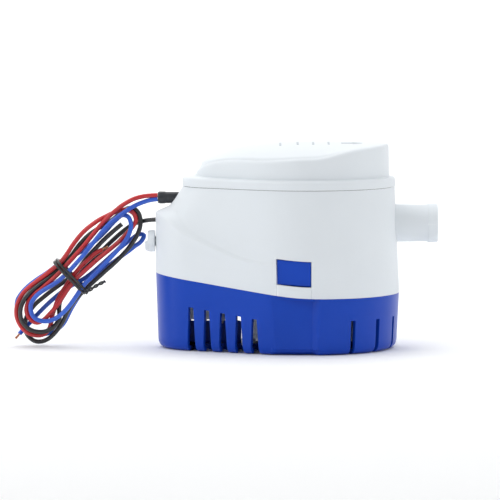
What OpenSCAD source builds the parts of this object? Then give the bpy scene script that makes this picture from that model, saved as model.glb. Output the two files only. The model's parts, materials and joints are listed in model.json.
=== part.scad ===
// Automatic submersible bilge pump: a strainer base that snaps off, a white
// housing with the motor well and hose spigot, a domed lid, a float switch with
// a test knob, and three supply wires bundled with a twist tie.
// Origin: on the motor axis, on the underside of the base. +X runs along the
// outlet, +Z is up, and the nose with the knob and wires points to -X.

/* [Casing plan] */
// Radius of the round end of the casing at the seam
body_r = 49.3; // [48.9:0.1:49.6]
// Radius of the nose end of the casing at the seam
nose_r = 28.4; // [28.1:0.1:28.7]
// Distance from the motor axis to the centre of the nose
nose_reach = 49.4; // [49.2:0.1:49.8]
// Radius of the round end at the top rim
top_r = 46.8; // [46.6:0.1:47]
// Radius of the nose end at the top rim
top_nose_r = 26; // [25.8:0.1:26.2]
// Distance from the motor axis to the centre of the nose at the top rim
top_nose_reach = 37.4; // [37.2:0.1:37.6]
// Thickness of the casing walls
wall = 2.4; // [2.3:0.1:2.5]

/* [Casing heights] */
// Height of the seam between base and housing at the round end
seam_h = 28.8; // [28.4:0.1:29.2]
// Rise of the seam per millimetre towards the nose
seam_slope = 0.14; // [0.12:0.01:0.15]
// Height of the fender ridge where it meets the window
ridge_h = 46.5; // [46:0.1:47]
// Height of the housing's top rim
rim_h = 84; // [83.8:0.1:84.2]
// Height of the crown of the lid
crown_h = 107.3; // [106.5:0.1:108.5]
// Thickness of the base's floor
floor_t = 2.5; // [2:0.1:3]

/* [Hose outlet] */
// Radius of the spigot
spigot_r = 9.8; // [9.6:0.1:9.9]
// Radius of the lip at the end of the spigot, for 19 mm hose
lip_r = 10.1; // [10:0.05:10.2]
// Length of the lip
lip_len = 5.3; // [4.5:0.1:6]
// Radius of the bore
bore_r = 8; // [7.5:0.1:8.2]
// Height of the spigot's axis
outlet_h = 64.6; // [64.4:0.1:64.8]
// Distance from the motor axis to the end of the spigot
outlet_reach = 69.2; // [66:0.1:72]

/* [Test knob and float] */
// Height of the knob's axis
knob_h = 55.2; // [55:0.1:55.4]
// Radius of the knob
knob_r = 5.7; // [5.2:0.1:6]
// Radius of the knob's stem
stem_r = 2.5; // [2.3:0.1:2.6]
// Radius at which the crank pin turns
crank_r = 8; // [7.8:0.1:8]
// Height of the underside of the float at rest
float_h = 20; // [19.5:0.1:20.5]

/* [Strainer] */
// Width of a slot at its top
slot_top_w = 2.5; // [2:0.1:3]
// Width of a slot at the floor
slot_foot_w = 4.2; // [3.6:0.1:4.5]
// Spacing of the slots on the straight sides
slot_pitch = 8.15; // [8:0.05:8.3]
// Radius of the mounting screw holes in the floor
screw_hole_r = 2.2; // [2:0.1:2.5]
// Spacing of the mounting screw holes along X
screw_x = 36; // [34:1:38]
// Spacing of the mounting screw holes along Y
screw_y = 48; // [46:1:50]

/* [Wires] */
// Diameter of one wire over its insulation
wire_d = 2.4; // [2.2:0.1:2.5]
// Outer diameter of the cable sleeve
sleeve_d = 6.5; // [6:0.1:6.6]
// Height of the sleeve's axis
sleeve_h = 77.9; // [77.6:0.1:78.2]

/* [Hidden] */

white = "#e8eef3";
blue = "#1d40b4";
black = "#202326";
steel = "#b9bdc1";
copper = "#b56a3a";
brass = "#c6a353";

// Segments of the casing outline: round end, nose end and each straight side.
arc_steps = 36;
nose_steps = 16;
side_steps = 5;
// How much the base is set in from the housing's skirt at the seam.
base_inset = 0.15;
// The base's lip, which the housing's skirt slides over.
lip_h = 3;
lip_gap = 0.15;
lip_t = 1.6;
// Length over which the seam bends from level to sloping.
seam_bend = 10;
seam_bend_x = -4;
// Lid: gasket under it, rim band, and plan of the dome.
gasket_t = 0.6;
rim_top = 89;
rim_proud = 0.4;
dome_r = 44;
dome_nose_r = 24.4;
dome_reach = 33;
dome_foot = 89.3;
dome_tip_h = 90.2;

// Motor and well, on the Z axis.
deck_h = 63.5;
deck_t = 2;
well_r = 21.2;
well_bore_r = 19;
well_floor = 23.4;
well_floor_t = 3;
can_r = 17.8;
can_top = 73;
shaft_r = 1.6;
shaft_low = 10.6;
shaft_top = 77.4;
seal_r = 5;
bush_r = 4;
core_r = 11.3;
core_low = 36;
core_high = 58;

// Volute: casing floor, roof, riser pipe and screws.
volute_low = 9.5;
volute_roof = 21;
volute_r = 33;
riser_x = 33;
riser_r = 10;
riser_top = 56;
seal_z = 53.4;
socket_low = 50;
elbow_top = 75.4;
elbow_r = 11.2;
elbow_gap = 0.1;
eye_r = 11;
cover_low = 7;
post_at = 24;
post_r = 3.6;
pilot_r = 1.3;
clear_r = 1.7;

// Float chamber on the nose side.
cage_x = -45;
cage_y = 21.5;
cage_low = 15.7;
cage_floor_t = 2;
float_x0 = -66.5;
float_x1 = -42;
float_half_y = 13.5;
float_t = 26;
pin_r = 1.5;
crank_start = -30;
crank_x = -72.9;
crank_t = 1.6;

// Window and latch tab, seen along Y: the opening is a slanted parallelogram.
window = [[-15.1, 36.2], [2.8, 35], [2.8, 48], [-15.1, 49.4]];
tab_gap = 0.4;
tab_y = 43.2;
tab_t = 1.6;
tab_head_r = 47.4;
tab_root_r = 1;
panel_y = 45.4;

// Wire bundle, seen along Y: two lobes and the waist under the twist tie.
hank_low = [-135, 17];
hank_low_r = 17;
waist = [-122.2, 36.5];
waist_r = 11.2;
hank_high = [-97.5, 60.5];
hank_high_r = 13;
hank_y0 = -5;
hank_y1 = 9;
sleeve_end = -76.6;
collar_x = -72;
sleeve_in = -60.6;
red_z = sleeve_h + wire_d/2;
blue_z = sleeve_h - wire_d/2;
black_z = 66.9;
red_route = [[sleeve_end, 0, red_z], [-81, 0, 79.4], [-86, 0.3, 79], [-91, 0.8, 77.6],
    [-96, 1.4, 75.6], [-100.4, 2, 73.6]];
blue_route = [[sleeve_end, 0, blue_z], [-81, 0, 76.7], [-85.5, -0.5, 75.9],
    [-90, -1, 74.4], [-92.8, -1.5, 73.1]];
black_route = [[-76, 0, black_z], [-80, 0, 66.6], [-82.6, 0, 66], [-84.8, 0, 65.2]];
// Leads inside the dry chamber: supply to the board, board to the motor's tabs.
inner_routes = [
    [[-58.8, 0, red_z], [-56, -4, 80], [-52, -6.5, 79.5], [-50, -7, 77.5], [-50, -7, 75.2]],
    [[-58.8, 0, blue_z + 0.3], [-57, 3, 78.5], [-53, 4, 78.5], [-51, 4, 77], [-51, 4, 75.2]],
    [[-28, -6, 75.2], [-28, -6, 79], [-25, -5, 82], [-19, -2, 82.5], [-13.9, 0, 82]],
    [[-28, 5, 75.2], [-28, 5, 80], [-24, 7, 84], [-12, 9, 86], [2, 7, 86], [9, 3, 84],
        [12, 1.5, 82]]];

function mix(a, b, t) = a + (b - a)*t;
function smooth(t) = let(u = min(1, max(0, t))) u*u*(3 - 2*u);
// A bend from 0 to a straight ramp of slope 1, centred on u = 0.
function ramp(u, s) = (u + sqrt(u*u + s*s))/2;
function seam_z(x) = seam_h + seam_slope*ramp(seam_bend_x - x, seam_bend);
function ridge_z(x) = ridge_h - 1.45 + ramp(-x - 31, 14)/2;
// 0 on the round half, 1 where the fender ridge stands out.
function fender(x) = smooth((-x - 11)/13);

// Outline of two circles joined by tangents, the second at [-reach, 0].
function outline(r0, reach, r1) = let(f = acos((r1 - r0)/reach),
    a = [r0*cos(f), r0*sin(f)], b = [-reach + r1*cos(f), r1*sin(f)]) [
    for (i = [0:arc_steps]) let(t = -f + 2*f*i/arc_steps) [r0*cos(t), r0*sin(t)],
    for (i = [1:side_steps - 1]) mix(a, b, i/side_steps),
    for (i = [0:nose_steps]) let(t = f + (360 - 2*f)*i/nose_steps)
        [-reach + r1*cos(t), r1*sin(t)],
    for (i = [1:side_steps - 1]) let(p = mix(b, a, i/side_steps)) [p[0], -p[1]]];
function seam_plan(inset) = outline(body_r - inset, nose_reach, nose_r - inset);
function rim_plan(inset) = outline(top_r - inset, top_nose_reach, top_nose_r - inset);
function dome_plan(inset) = outline(dome_r - inset, dome_reach, dome_nose_r - inset);

// Share of the way from the seam plan to the rim plan at height z.
function lean(x, z) = let(
    draft = max(0, (z - seam_h)/(rim_h - seam_h)),
    zr = ridge_z(x),
    step = 0.28 + 0.2*smooth((-x - 66)/11),
    left = step*smooth((z - zr + 2.6)/5.2)
        + (1 - step)*max(0, (z - zr - 1)/(rim_h - zr - 1)))
    mix(draft, left, fender(x));
// Heights of one column of the housing, from the seam to the rim.
function column(x, n) = let(z0 = seam_z(x), zr = ridge_z(x)) n == 0 ?
    [z0, mix(z0, zr - 3, 0.5), zr - 3, zr - 1.5, zr, zr + 1.5, zr + 3,
        mix(zr + 3, rim_h, 0.35), mix(zr + 3, rim_h, 0.7), rim_h] :
    [z0, zr - 2.6, zr, zr + 2.6, mix(zr + 2.6, rim_h, 0.5), rim_h];
function housing_ring(k, inset, n) = let(a = seam_plan(inset), b = rim_plan(inset),
    o = seam_plan(0)) [for (i = [0:len(a) - 1])
    let(z = column(o[i][0], n)[k], p = mix(a[i], b[i], lean(o[i][0], z))) [p[0], p[1], z]];
function flat_ring(plan, z) = [for (p = plan) [p[0], p[1], z]];
function seam_ring(inset, dz) = let(o = seam_plan(0), p = seam_plan(inset))
    [for (i = [0:len(p) - 1]) [p[i][0], p[i][1], seam_z(o[i][0]) + dz]];

// The lid's top surface: an elliptical run-out to the nose and a cross crown.
function lid_z(p) = let(t = min(1, max(0, -p[0]/(dome_reach + dome_nose_r))),
    spine = dome_tip_h + (crown_h - dome_tip_h)*sqrt(1 - t*t),
    fall = 0.0004*pow(max(0, p[0]), 2),
    crown = (0.004 + 0.005*smooth(-p[0]/50))*p[1]*p[1])
    max(dome_tip_h, spine - fall - crown);
function lid_ring(inset, drop) = let(o = dome_plan(0), p = dome_plan(inset))
    [for (i = [0:len(p) - 1]) [p[i][0], p[i][1], lid_z(o[i]) - drop]];
function crown_ring(s, drop) = let(o = dome_plan(0), c = [-8, 0])
    [for (q = o) let(p = mix(c, q, s)) [p[0], p[1], lid_z(p) - drop]];

// A solid skinned over rings of equal length, closed by flat end faces, or
// joined end to end when loop is true.
module skin(rings, loop = false) {
    n = len(rings[0]);
    m = len(rings);
    last = loop ? m - 1 : m - 2;
    polyhedron(points = [for (r = rings) for (p = r) p], faces = [
        for (k = [0:last]) for (i = [0:n - 1])
            let(a = k*n + i, b = k*n + (i + 1) % n, c = ((k + 1) % m)*n + i,
                d = ((k + 1) % m)*n + (i + 1) % n)
            each [[a, c, b], [b, c, d]],
        if (!loop) [for (i = [0:n - 1]) i],
        if (!loop) [for (i = [n - 1:-1:0]) (m - 1)*n + i]]);
}

// An eight-sided tube swept along a list of points.
module wire(route, r) {
    n = len(route);
    skin([for (i = [0:n - 1]) let(
        d = route[min(n - 1, i + 1)] - route[max(0, i - 1)], u = d/norm(d),
        s = cross(u, [0, 1, 0]), t = s/norm(s), v = cross(u, t))
        [for (k = [0:7]) route[i] + r*(cos(45*k)*t + sin(45*k)*v)]]);
}

module disc(r, z0, z1) translate([0, 0, z0]) cylinder(r = r, h = z1 - z0, $fn = 96);
module tube(r0, r1, z0, z1) difference() {
    disc(r1, z0, z1);
    disc(r0, z0 - 1, z1 + 1);
}
module rod_x(r, x0, x1, y, z) translate([x0, y, z]) rotate([0, 90, 0])
    cylinder(r = r, h = x1 - x0, $fn = 64);
module block(x, y, z) translate([x[0], y[0], z[0]])
    cube([x[1] - x[0], y[1] - y[0], z[1] - z[0]]);
// A profile drawn in X and Z, given its depth along Y.
module along_y(y0, y1) translate([0, y1, 0]) rotate([90, 0, 0])
    linear_extrude(y1 - y0) children();
module screw(x, y, z, len, head_r, head_t) translate([x, y, z]) {
    cylinder(r = pilot_r, h = len, $fn = 24);
    difference() {
        translate([0, 0, -head_t]) cylinder(r = head_r, h = head_t, $fn = 32);
        for (a = [0, 90]) rotate(a) translate([-head_r*0.6, -0.3, -head_t - 0.1])
            cube([head_r*1.2, 0.6, head_t*0.6]);
    }
}

// Slots on both long sides, and fanned slots on the round end.
module side_slot(x) {
    top = seam_z(x) - 13.9 - (x + 59)*0.004;
    for (s = [-1, 1]) along_y(s > 0 ? 12 : -50, s > 0 ? 50 : -12)
        polygon([[x - slot_foot_w/2, -1], [x + slot_foot_w/2, -1],
            [x + slot_foot_w/2, 1.5], [x + slot_top_w/2, top], [x - slot_top_w/2, top],
            [x - slot_foot_w/2, 1.5]]);
}
module fan_slot(a) rotate(a) block([34, 52], [-1.4, 1.4], [-1, 17.2]);

// The cup of the base with its slotted wall, as one closed form.
module slotted_cup() resize([0, 0, 0]) difference() {
    union() {
        skin([flat_ring(seam_plan(5.2), 0), flat_ring(seam_plan(3.2), 0.6),
            flat_ring(seam_plan(1.9), 2.2), flat_ring(seam_plan(1.3), 6),
            seam_ring(base_inset, -lip_gap), seam_ring(wall + lip_gap, -lip_gap),
            seam_ring(wall + lip_gap, lip_h), seam_ring(wall + lip_gap + lip_t, lip_h),
            seam_ring(wall + lip_gap + lip_t, -2), seam_ring(wall + 0.2, -4),
            flat_ring(seam_plan(wall + 1.2), floor_t)]);
        // Stiffening rib along the middle of the floor.
        block([-66, -35.5], [-1, 1], [1, 13.5]);
    }
    for (i = [0:4]) side_slot(-58.6 + i*slot_pitch);
    for (a = [20, 40, 60], s = [-1, 1]) fan_slot(s*a);
    fan_slot(0);
}

module strainer_base() color(blue) difference() {
    union() {
        slotted_cup();
        // Backing of the recessed panels under the windows.
        for (s = [0, 1]) mirror([0, s, 0]) along_y(-panel_y - 1.4, -tab_y - 0.6)
            polygon([[-17.8, 1.6], [6.4, 1.6], [6.4, seam_z(6.4) - 0.5],
                [-17.8, seam_z(-17.8) - 0.5]]);
        // Ledges that carry the latch tabs.
        for (s = [-1, 1]) block([-10, -2], s > 0 ? [tab_y - tab_t, tab_y + 1]
            : [-tab_y - 1, -tab_y + tab_t], [17, 20.8]);
    }
    for (x = [-1, 1], y = [-1, 1]) translate([x*screw_x/2, y*screw_y/2, -1])
        cylinder(r = screw_hole_r, h = floor_t + 2, $fn = 48);
    // Recessed panels with sloping side walls, up to the seam.
    for (s = [0, 1]) mirror([0, s, 0]) intersection() {
        translate([0, 0, -1]) linear_extrude(60)
            polygon([[-18.6, -60], [-18.6, -45.7], [-15.5, -panel_y], [3.3, -panel_y],
                [7.4, -48.8], [7.4, -60]]);
        along_y(-70, -40) polygon([[-30, -2], [20, -2], [20, seam_z(20) + 0.3],
            [-5, seam_z(-5) + 0.3], [-30, seam_z(-30) + 0.3]]);
    }
}

module housing() color(white) difference() {
    union() {
        skin([for (k = [0:9]) housing_ring(k, 0, 0), for (k = [5:-1:0])
            housing_ring(k, wall, 1)], loop = true);
        difference() {
            union() {
                // Deck over the wet chamber, cut from the casing's own section.
                skin([for (z = [deck_h, deck_h + deck_t]) deck_ring(z)]);
                disc(well_r, well_floor, deck_h + deck_t + 4);
                for (x = [-1, 1], y = [-1, 1]) translate([x*post_at, y*post_at, well_floor])
                    cylinder(r = post_r, h = deck_h + 0.7 - well_floor, $fn = 48);
                for (s = [-1, 1]) translate([cage_x, s*cage_y, cage_low + cage_floor_t])
                    cylinder(r = 3.2, h = deck_h + 0.7 - cage_low - cage_floor_t, $fn = 48);
                // Posts for the switch board.
                for (x = [-50, -30]) translate([x, 9, deck_h])
                    cylinder(r = 2.4, h = 10.5, $fn = 32);
                // Boss that guides the knob's stem.
                rod_x(5.5, -76.6, -74.9, 0, knob_h);
            }
            disc(well_bore_r, well_floor + well_floor_t, deck_h + deck_t + 5);
            disc(seal_r, well_floor - 1, well_floor + well_floor_t + 1);
            for (x = [-1, 1], y = [-1, 1]) translate([x*post_at, y*post_at, well_floor - 1])
                cylinder(r = pilot_r, h = 12, $fn = 32);
            for (s = [-1, 1]) translate([cage_x, s*cage_y, cage_low])
                cylinder(r = pilot_r, h = 12, $fn = 32);
            for (x = [-50, -30]) translate([x, 9, deck_h + 4])
                cylinder(r = 0.9, h = 10, $fn = 24);
            translate([riser_x, 0, socket_low])
                cylinder(r = elbow_r + elbow_gap, h = 30, $fn = 96);
        }
    }
    rod_x(spigot_r + elbow_gap, riser_x - 0.1, outlet_reach, 0, outlet_h);
    along_y(-60, 60) polygon(window);
    rod_x(stem_r + 0.05, -90, -70, 0, knob_h);
    rod_x(3.6, -76.8, -75.7, 0, knob_h);
    rod_x(sleeve_d/2, -80, -60, 0, sleeve_h);
    rod_x(wire_d/2 + 0.1, -80, -70, 0, black_z);
}
// Hose spigot with its elbow and the socket for the riser, bonded into the housing.
module outlet_elbow() color(white) difference() {
    union() {
        rod_x(spigot_r, riser_x, outlet_reach, 0, outlet_h);
        rod_x(lip_r, outlet_reach - lip_len, outlet_reach, 0, outlet_h);
        translate([riser_x, 0, socket_low])
            cylinder(r = elbow_r, h = elbow_top - socket_low, $fn = 96);
    }
    translate([riser_x, 0, socket_low - 1])
        cylinder(r = riser_r + 0.05, h = riser_top - socket_low + 1.5, $fn = 96);
    translate([riser_x, 0, socket_low])
        cylinder(r = bore_r + 0.4, h = elbow_top - 2.4 - socket_low, $fn = 96);
    rod_x(bore_r, riser_x, outlet_reach + 1, 0, outlet_h);
}
function deck_ring(z) = let(a = seam_plan(wall/2), b = rim_plan(wall/2), o = seam_plan(0))
    [for (i = [0:len(a) - 1]) let(p = mix(a[i], b[i], lean(o[i][0], z))) [p[0], p[1], z]];

module top_cover() color(white) skin([
    flat_ring(rim_plan(-rim_proud), rim_h + gasket_t), flat_ring(rim_plan(-rim_proud), 87),
    flat_ring(rim_plan(0), 88.4), flat_ring(rim_plan(0.9), rim_top),
    flat_ring(dome_plan(-0.3), dome_foot), lid_ring(0.3, 2.4), lid_ring(0.8, 0.9),
    lid_ring(1.8, 0.1), crown_ring(0.9, 0), crown_ring(0.75, 0), crown_ring(0.55, 0),
    crown_ring(0.35, 0), crown_ring(0.15, 0), crown_ring(0.01, 0), crown_ring(0.01, 2.3),
    crown_ring(0.2, 2.3), crown_ring(0.5, 2.3), crown_ring(0.75, 2.3), crown_ring(0.9, 2.5),
    flat_ring(dome_plan(2.8), 88), flat_ring(rim_plan(wall + 2), 86.8),
    flat_ring(rim_plan(wall + 2), 82.6), flat_ring(rim_plan(wall + 0.2), 82.6),
    flat_ring(rim_plan(wall + 0.2), rim_h + gasket_t)], loop = true);

module cover_seal() color(black) skin([
    flat_ring(rim_plan(0.3), rim_h), flat_ring(rim_plan(0.3), rim_h + gasket_t),
    flat_ring(rim_plan(wall), rim_h + gasket_t), flat_ring(rim_plan(wall), rim_h)],
    loop = true);

// Outline of the volute's casing and cover, with ears for the screws.
module volute_outline() {
    circle(volute_r, $fn = 96);
    translate([riser_x, 0]) circle(riser_r, $fn = 64);
    for (x = [-1, 1], y = [-1, 1]) translate([x*post_at, y*post_at]) circle(5, $fn = 48);
}
// The chamber widens steadily round to the riser.
module volute_chamber() {
    polygon([for (a = [0:12:348]) (23.6 + 7.2*a/348)*[cos(a), sin(a)]]);
    translate([riser_x, 0]) circle(bore_r, $fn = 64);
    translate([18, -8]) square([15, 12]);
}
module screw_holes(r, z0, z1) for (x = [-1, 1], y = [-1, 1])
    translate([x*post_at, y*post_at, z0]) cylinder(r = r, h = z1 - z0, $fn = 32);

module volute_casing() color(white) difference() {
    union() {
        translate([0, 0, volute_low]) linear_extrude(well_floor - volute_low)
            volute_outline();
        translate([riser_x, 0, volute_low]) cylinder(r = riser_r, h = riser_top - volute_low,
            $fn = 96);
    }
    translate([0, 0, volute_low - 1]) linear_extrude(volute_roof - volute_low + 1)
        volute_chamber();
    translate([riser_x, 0, volute_roof - 1]) cylinder(r = bore_r, h = 60, $fn = 96);
    disc(seal_r, volute_roof - 1, well_floor + 1);
    screw_holes(clear_r, volute_low - 1, well_floor + 1);
    // Groove of the riser's O-ring.
    translate([riser_x, 0, seal_z - 0.7]) rotate_extrude($fn = 96) translate([9, 0]) square([3, 1.4]);
}

module volute_cover() color("#c9d2d8") difference() {
    union() {
        translate([0, 0, cover_low]) linear_extrude(volute_low - cover_low) volute_outline();
        // Four short feet that bear on the floor of the base.
        for (a = [0, 90, 180, 270]) rotate(a + 12) translate([27, 0, floor_t])
            cylinder(r = 2.4, h = cover_low - floor_t + 0.5, $fn = 32);
    }
    disc(eye_r, cover_low - 1, volute_low + 1);
    screw_holes(clear_r, cover_low - 1, volute_low + 1);
}

module volute_screws() color(steel) for (x = [-1, 1], y = [-1, 1])
    screw(x*post_at, y*post_at, cover_low, 24, 2.8, 1.6);

module riser_seal() color(black) translate([riser_x, 0, seal_z])
    rotate_extrude($fn = 96) translate([9.5, 0]) circle(0.5, $fn = 24);

module motor_can() color(steel) difference() {
    disc(can_r, well_floor + well_floor_t, can_top);
    disc(can_r - 1, well_floor + well_floor_t + 1, can_top + 1);
    disc(bush_r, well_floor, can_top);
}

module motor_end_cap() color(black) difference() {
    union() {
        disc(can_r, can_top, 79);
        disc(can_r - 1.05, 70, can_top);
        for (s = [-1, 1]) block([s*12 - 1.6, s*12 + 1.6], [-0.4, 0.4], [79, 83]);
    }
    disc(11, 60, 72.4);
    disc(bush_r, 72, 76.6);
    disc(2.2, 72, 78);
}

module motor_magnets() color("#3a3b3f") for (a = [-55, 125]) rotate_extrude(
    angle = 110, start = a, $fn = 96) translate([12, 34]) square([4.75, 26]);

module bush(z0, z1) color(brass) tube(shaft_r + 0.02, bush_r, z0, z1);
module motor_bush_lower() bush(well_floor + well_floor_t, 31);
module motor_bush_upper() bush(72.4, 76.6);

module motor_brushes() color("#4b4642") for (s = [0, 180]) rotate(s)
    difference() {
        block([4.2, 9], [-1.8, 1.8], [65, 68.6]);
        disc(5.08, 60, 72);
    }

module brush_springs() color(copper) for (s = [0, 180]) rotate(s)
    block([9, 13], [-0.9, 0.9], [65.6, 68]);

module shaft_seal() color(black) tube(shaft_r + 0.03, seal_r, volute_roof, 26.4);

module motor_shaft() color(steel) disc(shaft_r, shaft_low, shaft_top);

module armature_core() color("#8b8f94") difference() {
    disc(core_r, core_low, core_high);
    disc(shaft_r, core_low - 1, core_high + 1);
    for (i = [0:4]) rotate(72*i) block([5.2, 12], [-1.1, 1.1], [core_low - 1, core_high + 1]);
}

module armature_windings() color(copper) for (z = [[31.6, core_low], [core_high, 62.6]])
    tube(shaft_r + 2.2, core_r - 0.9, z[0], z[1]);

module commutator() color(brass) difference() {
    disc(5, 62.8, 70.6);
    disc(shaft_r, 60, 72);
    for (i = [0:4]) rotate(72*i + 10) block([4.3, 6], [-0.25, 0.25], [64, 71]);
}

module impeller() color(blue) difference() {
    union() {
        disc(4, 11, volute_roof - 0.6);
        disc(21.6, 18.6, volute_roof - 0.6);
        for (i = [0:4]) rotate(72*i) translate([10.6, 0, 11])
            rotate_extrude(angle = 140, start = 15, $fn = 96) translate([9.9, 0])
            square([1.5, 8]);
    }
    disc(shaft_r, 5, 30);
}

module float_cage() color(white) difference() {
    union() {
        block([-64, -38], [-17.6, 17.6], [cage_low, cage_low + cage_floor_t]);
        for (s = [-1, 1]) block([-62, -40], s > 0 ? [15.6, 17.2] : [-17.2, -15.6],
            [cage_low, 58]);
        for (s = [-1, 1]) translate([cage_x, s*cage_y, cage_low])
            cylinder(r = 3.4, h = cage_floor_t, $fn = 48);
        for (s = [-1, 1]) block([cage_x - 3.4, cage_x + 3.4], s > 0 ? [16, cage_y]
            : [-cage_y, -16], [cage_low, cage_low + cage_floor_t]);
    }
    for (x = [-60:4:-42]) block([x - 1, x + 1], [-13, 13], [cage_low - 1, cage_low + 5]);
    for (s = [-1, 1]) translate([cage_x, s*cage_y, cage_low - 1])
        cylinder(r = clear_r, h = 5, $fn = 32);
}

module cage_screws() color(steel) for (s = [-1, 1])
    screw(cage_x, s*cage_y, cage_low, 11, 2.8, 1.4);

// Height of the crank pin at rest and the float's shelf just above it.
pin_y = -crank_r*cos(crank_start);
pin_z = knob_h + crank_r*sin(crank_start);
shelf_z = pin_z + pin_r + 0.35;
float_top = float_h + float_t;
module float() color("#f2c230") difference() {
    union() {
        block([float_x0, float_x1], [-float_half_y, float_half_y], [float_h, float_top]);
        block([-68, -66], [-11, -3], [float_top - 6, shelf_z + 1.8]);
        block([-70.9, -66], [-11, -3], [shelf_z, shelf_z + 1.8]);
        translate([-54, 0, float_top]) cylinder(r = 4, h = 8, $fn = 48);
    }
    translate([-54, 0, float_top + 2]) cylinder(r = 2.6, h = 8, $fn = 48);
}
module float_magnet() color("#6d6f73") translate([-54, 0, float_top + 2])
    cylinder(r = 2.6, h = 5.4, $fn = 48);

module test_knob() color(white) {
    rod_x(stem_r, -79, crank_x, 0, knob_h);
    difference() {
        union() {
            rod_x(knob_r, -81.9, -78.2, 0, knob_h);
            rod_x(knob_r - 0.6, -83.3, -81.9, 0, knob_h);
        }
        // The grip stands out on the lower half only.
        block([-90, -81.9], [-9, 9], [knob_h - 0.6, knob_h + 9]);
    }
}
module knob_crank() color("#d9dee2") {
    rod_x(3.2, crank_x, crank_x + crank_t, 0, knob_h);
    rod_x(pin_r + 0.6, crank_x, crank_x + crank_t, pin_y, pin_z);
    rod_x(pin_r, crank_x + crank_t, -68.6, pin_y, pin_z);
    translate([0, 0, knob_h]) rotate([-crank_start, 0, 0])
        block([crank_x, crank_x + crank_t], [-crank_r, 0], [-1.4, 1.4]);
}
module knob_seal() color(black) difference() {
    rod_x(3.55, -76.7, -75.8, 0, knob_h);
    rod_x(stem_r + 0.04, -80, -70, 0, knob_h);
}

// A springy latch arm behind the base's panel, its head standing in the window.
module lock_tab() {
    rod_x(tab_root_r, -9.9, -2.1, tab_t/2 - tab_y, 22);
    head = [for (p = window) [mix(p[0], -6, tab_gap/8.9), mix(p[1], 42.3, tab_gap/6.7)]];
    along_y(-tab_y, -tab_y + tab_t) polygon([[-12.8, 23], [-10, 23], [-10, 21.3], [-2, 21.3],
        [-2, 23], [2.4, 23], head[2], [-12.8, head[3][1]]]);
    intersection() {
        disc(tab_head_r, 20, 60);
        along_y(-60, -tab_y + 0.1) polygon(head);
    }
}
module lock_tab_front() color(blue) lock_tab();
module lock_tab_rear() color(blue) mirror([0, 1, 0]) lock_tab();

module switch_board() color("#1f6b3a") difference() {
    block([-56, -24], [-12, 12], [74, 75.2]);
    for (x = [-50, -30]) translate([x, 9, 70]) cylinder(r = 1.1, h = 10, $fn = 24);
}
module board_screws() color(steel) for (x = [-50, -30]) translate([x, 9, 75.2])
    mirror([0, 0, 1]) translate([0, 0, 0]) {
        cylinder(r = 0.9, h = 6, $fn = 24);
        translate([0, 0, -1.1]) cylinder(r = 1.9, h = 1.1, $fn = 32);
    }
module reed_switch() color("#a9d6cf") {
    rod_x(1.3, -60, -46, 0, deck_h + deck_t + 2.4);
    rod_x(0.35, -64, -42, 0, deck_h + deck_t + 2.4);
}
module capacitors() color("#c98a2b") for (y = [-4, 4]) translate([-36, y, 75.2]) {
    translate([0, 0, 3.4]) rotate([90, 0, 0]) cylinder(r = 3, h = 2, center = true, $fn = 32);
    for (x = [-1.4, 1.4]) translate([x, 0, 0]) cylinder(r = 0.3, h = 1.4, $fn = 16);
}
module inner_leads() color("#b4232a") for (route = inner_routes) wire(route, 1);

module cable_sleeve() color(black) difference() {
    union() {
        rod_x(sleeve_d/2 - 0.2, collar_x, sleeve_in + 1, 0, sleeve_h);
        rod_x(sleeve_d/2, sleeve_end, collar_x, 0, sleeve_h);
    }
    for (z = [red_z, blue_z]) rod_x(wire_d/2 + 0.01, sleeve_end - 1, sleeve_end + 1.5, 0, z);
}
module wire_grommet() color(black) difference() {
    rod_x(sleeve_d/2 + 1.2, sleeve_in, sleeve_in + 1.4, 0, sleeve_h);
    rod_x(sleeve_d/2 - 0.2, sleeve_in - 1, sleeve_in + 2, 0, sleeve_h);
}

module red_lead() color("#c3202b") wire(red_route, wire_d/2);
module blue_lead() color("#2558c8") wire(blue_route, wire_d/2);
module black_lead() color(black) wire(black_route, wire_d/2);

module lobe(a, ra, b, rb) hull() {
    translate(a) circle(ra, $fn = 48);
    translate(b) circle(rb, $fn = 32);
}
module wire_hank() color("#3a3f55") along_y(hank_y0, hank_y1) {
    lobe(hank_low, hank_low_r, waist, waist_r);
    lobe(hank_high, hank_high_r, waist, waist_r);
}
module twist_tie() color(black) translate([waist[0], (hank_y0 + hank_y1)/2, waist[1]])
    rotate([0, atan2(hank_high[0] - waist[0], hank_high[1] - waist[1]), 0])
    difference() {
        translate([-13, -8, -2]) cube([26, 16, 4]);
        translate([-12, (hank_y0 - hank_y1)/2, -3]) cube([24, hank_y1 - hank_y0, 6]);
    }

strainer_base();
housing();
outlet_elbow();
top_cover();
cover_seal();
volute_casing();
volute_cover();
volute_screws();
riser_seal();
motor_can();
motor_end_cap();
motor_magnets();
motor_bush_lower();
motor_bush_upper();
motor_brushes();
brush_springs();
shaft_seal();
motor_shaft();
armature_core();
armature_windings();
commutator();
impeller();
float_cage();
cage_screws();
float();
float_magnet();
test_knob();
knob_crank();
knob_seal();
lock_tab_front();
lock_tab_rear();
switch_board();
board_screws();
reed_switch();
capacitors();
inner_leads();
cable_sleeve();
wire_grommet();
red_lead();
blue_lead();
black_lead();
wire_hank();
twist_tie();
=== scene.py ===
"""The looks of an automatic bilge pump with its coiled leads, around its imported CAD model."""

import json
import math

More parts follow.
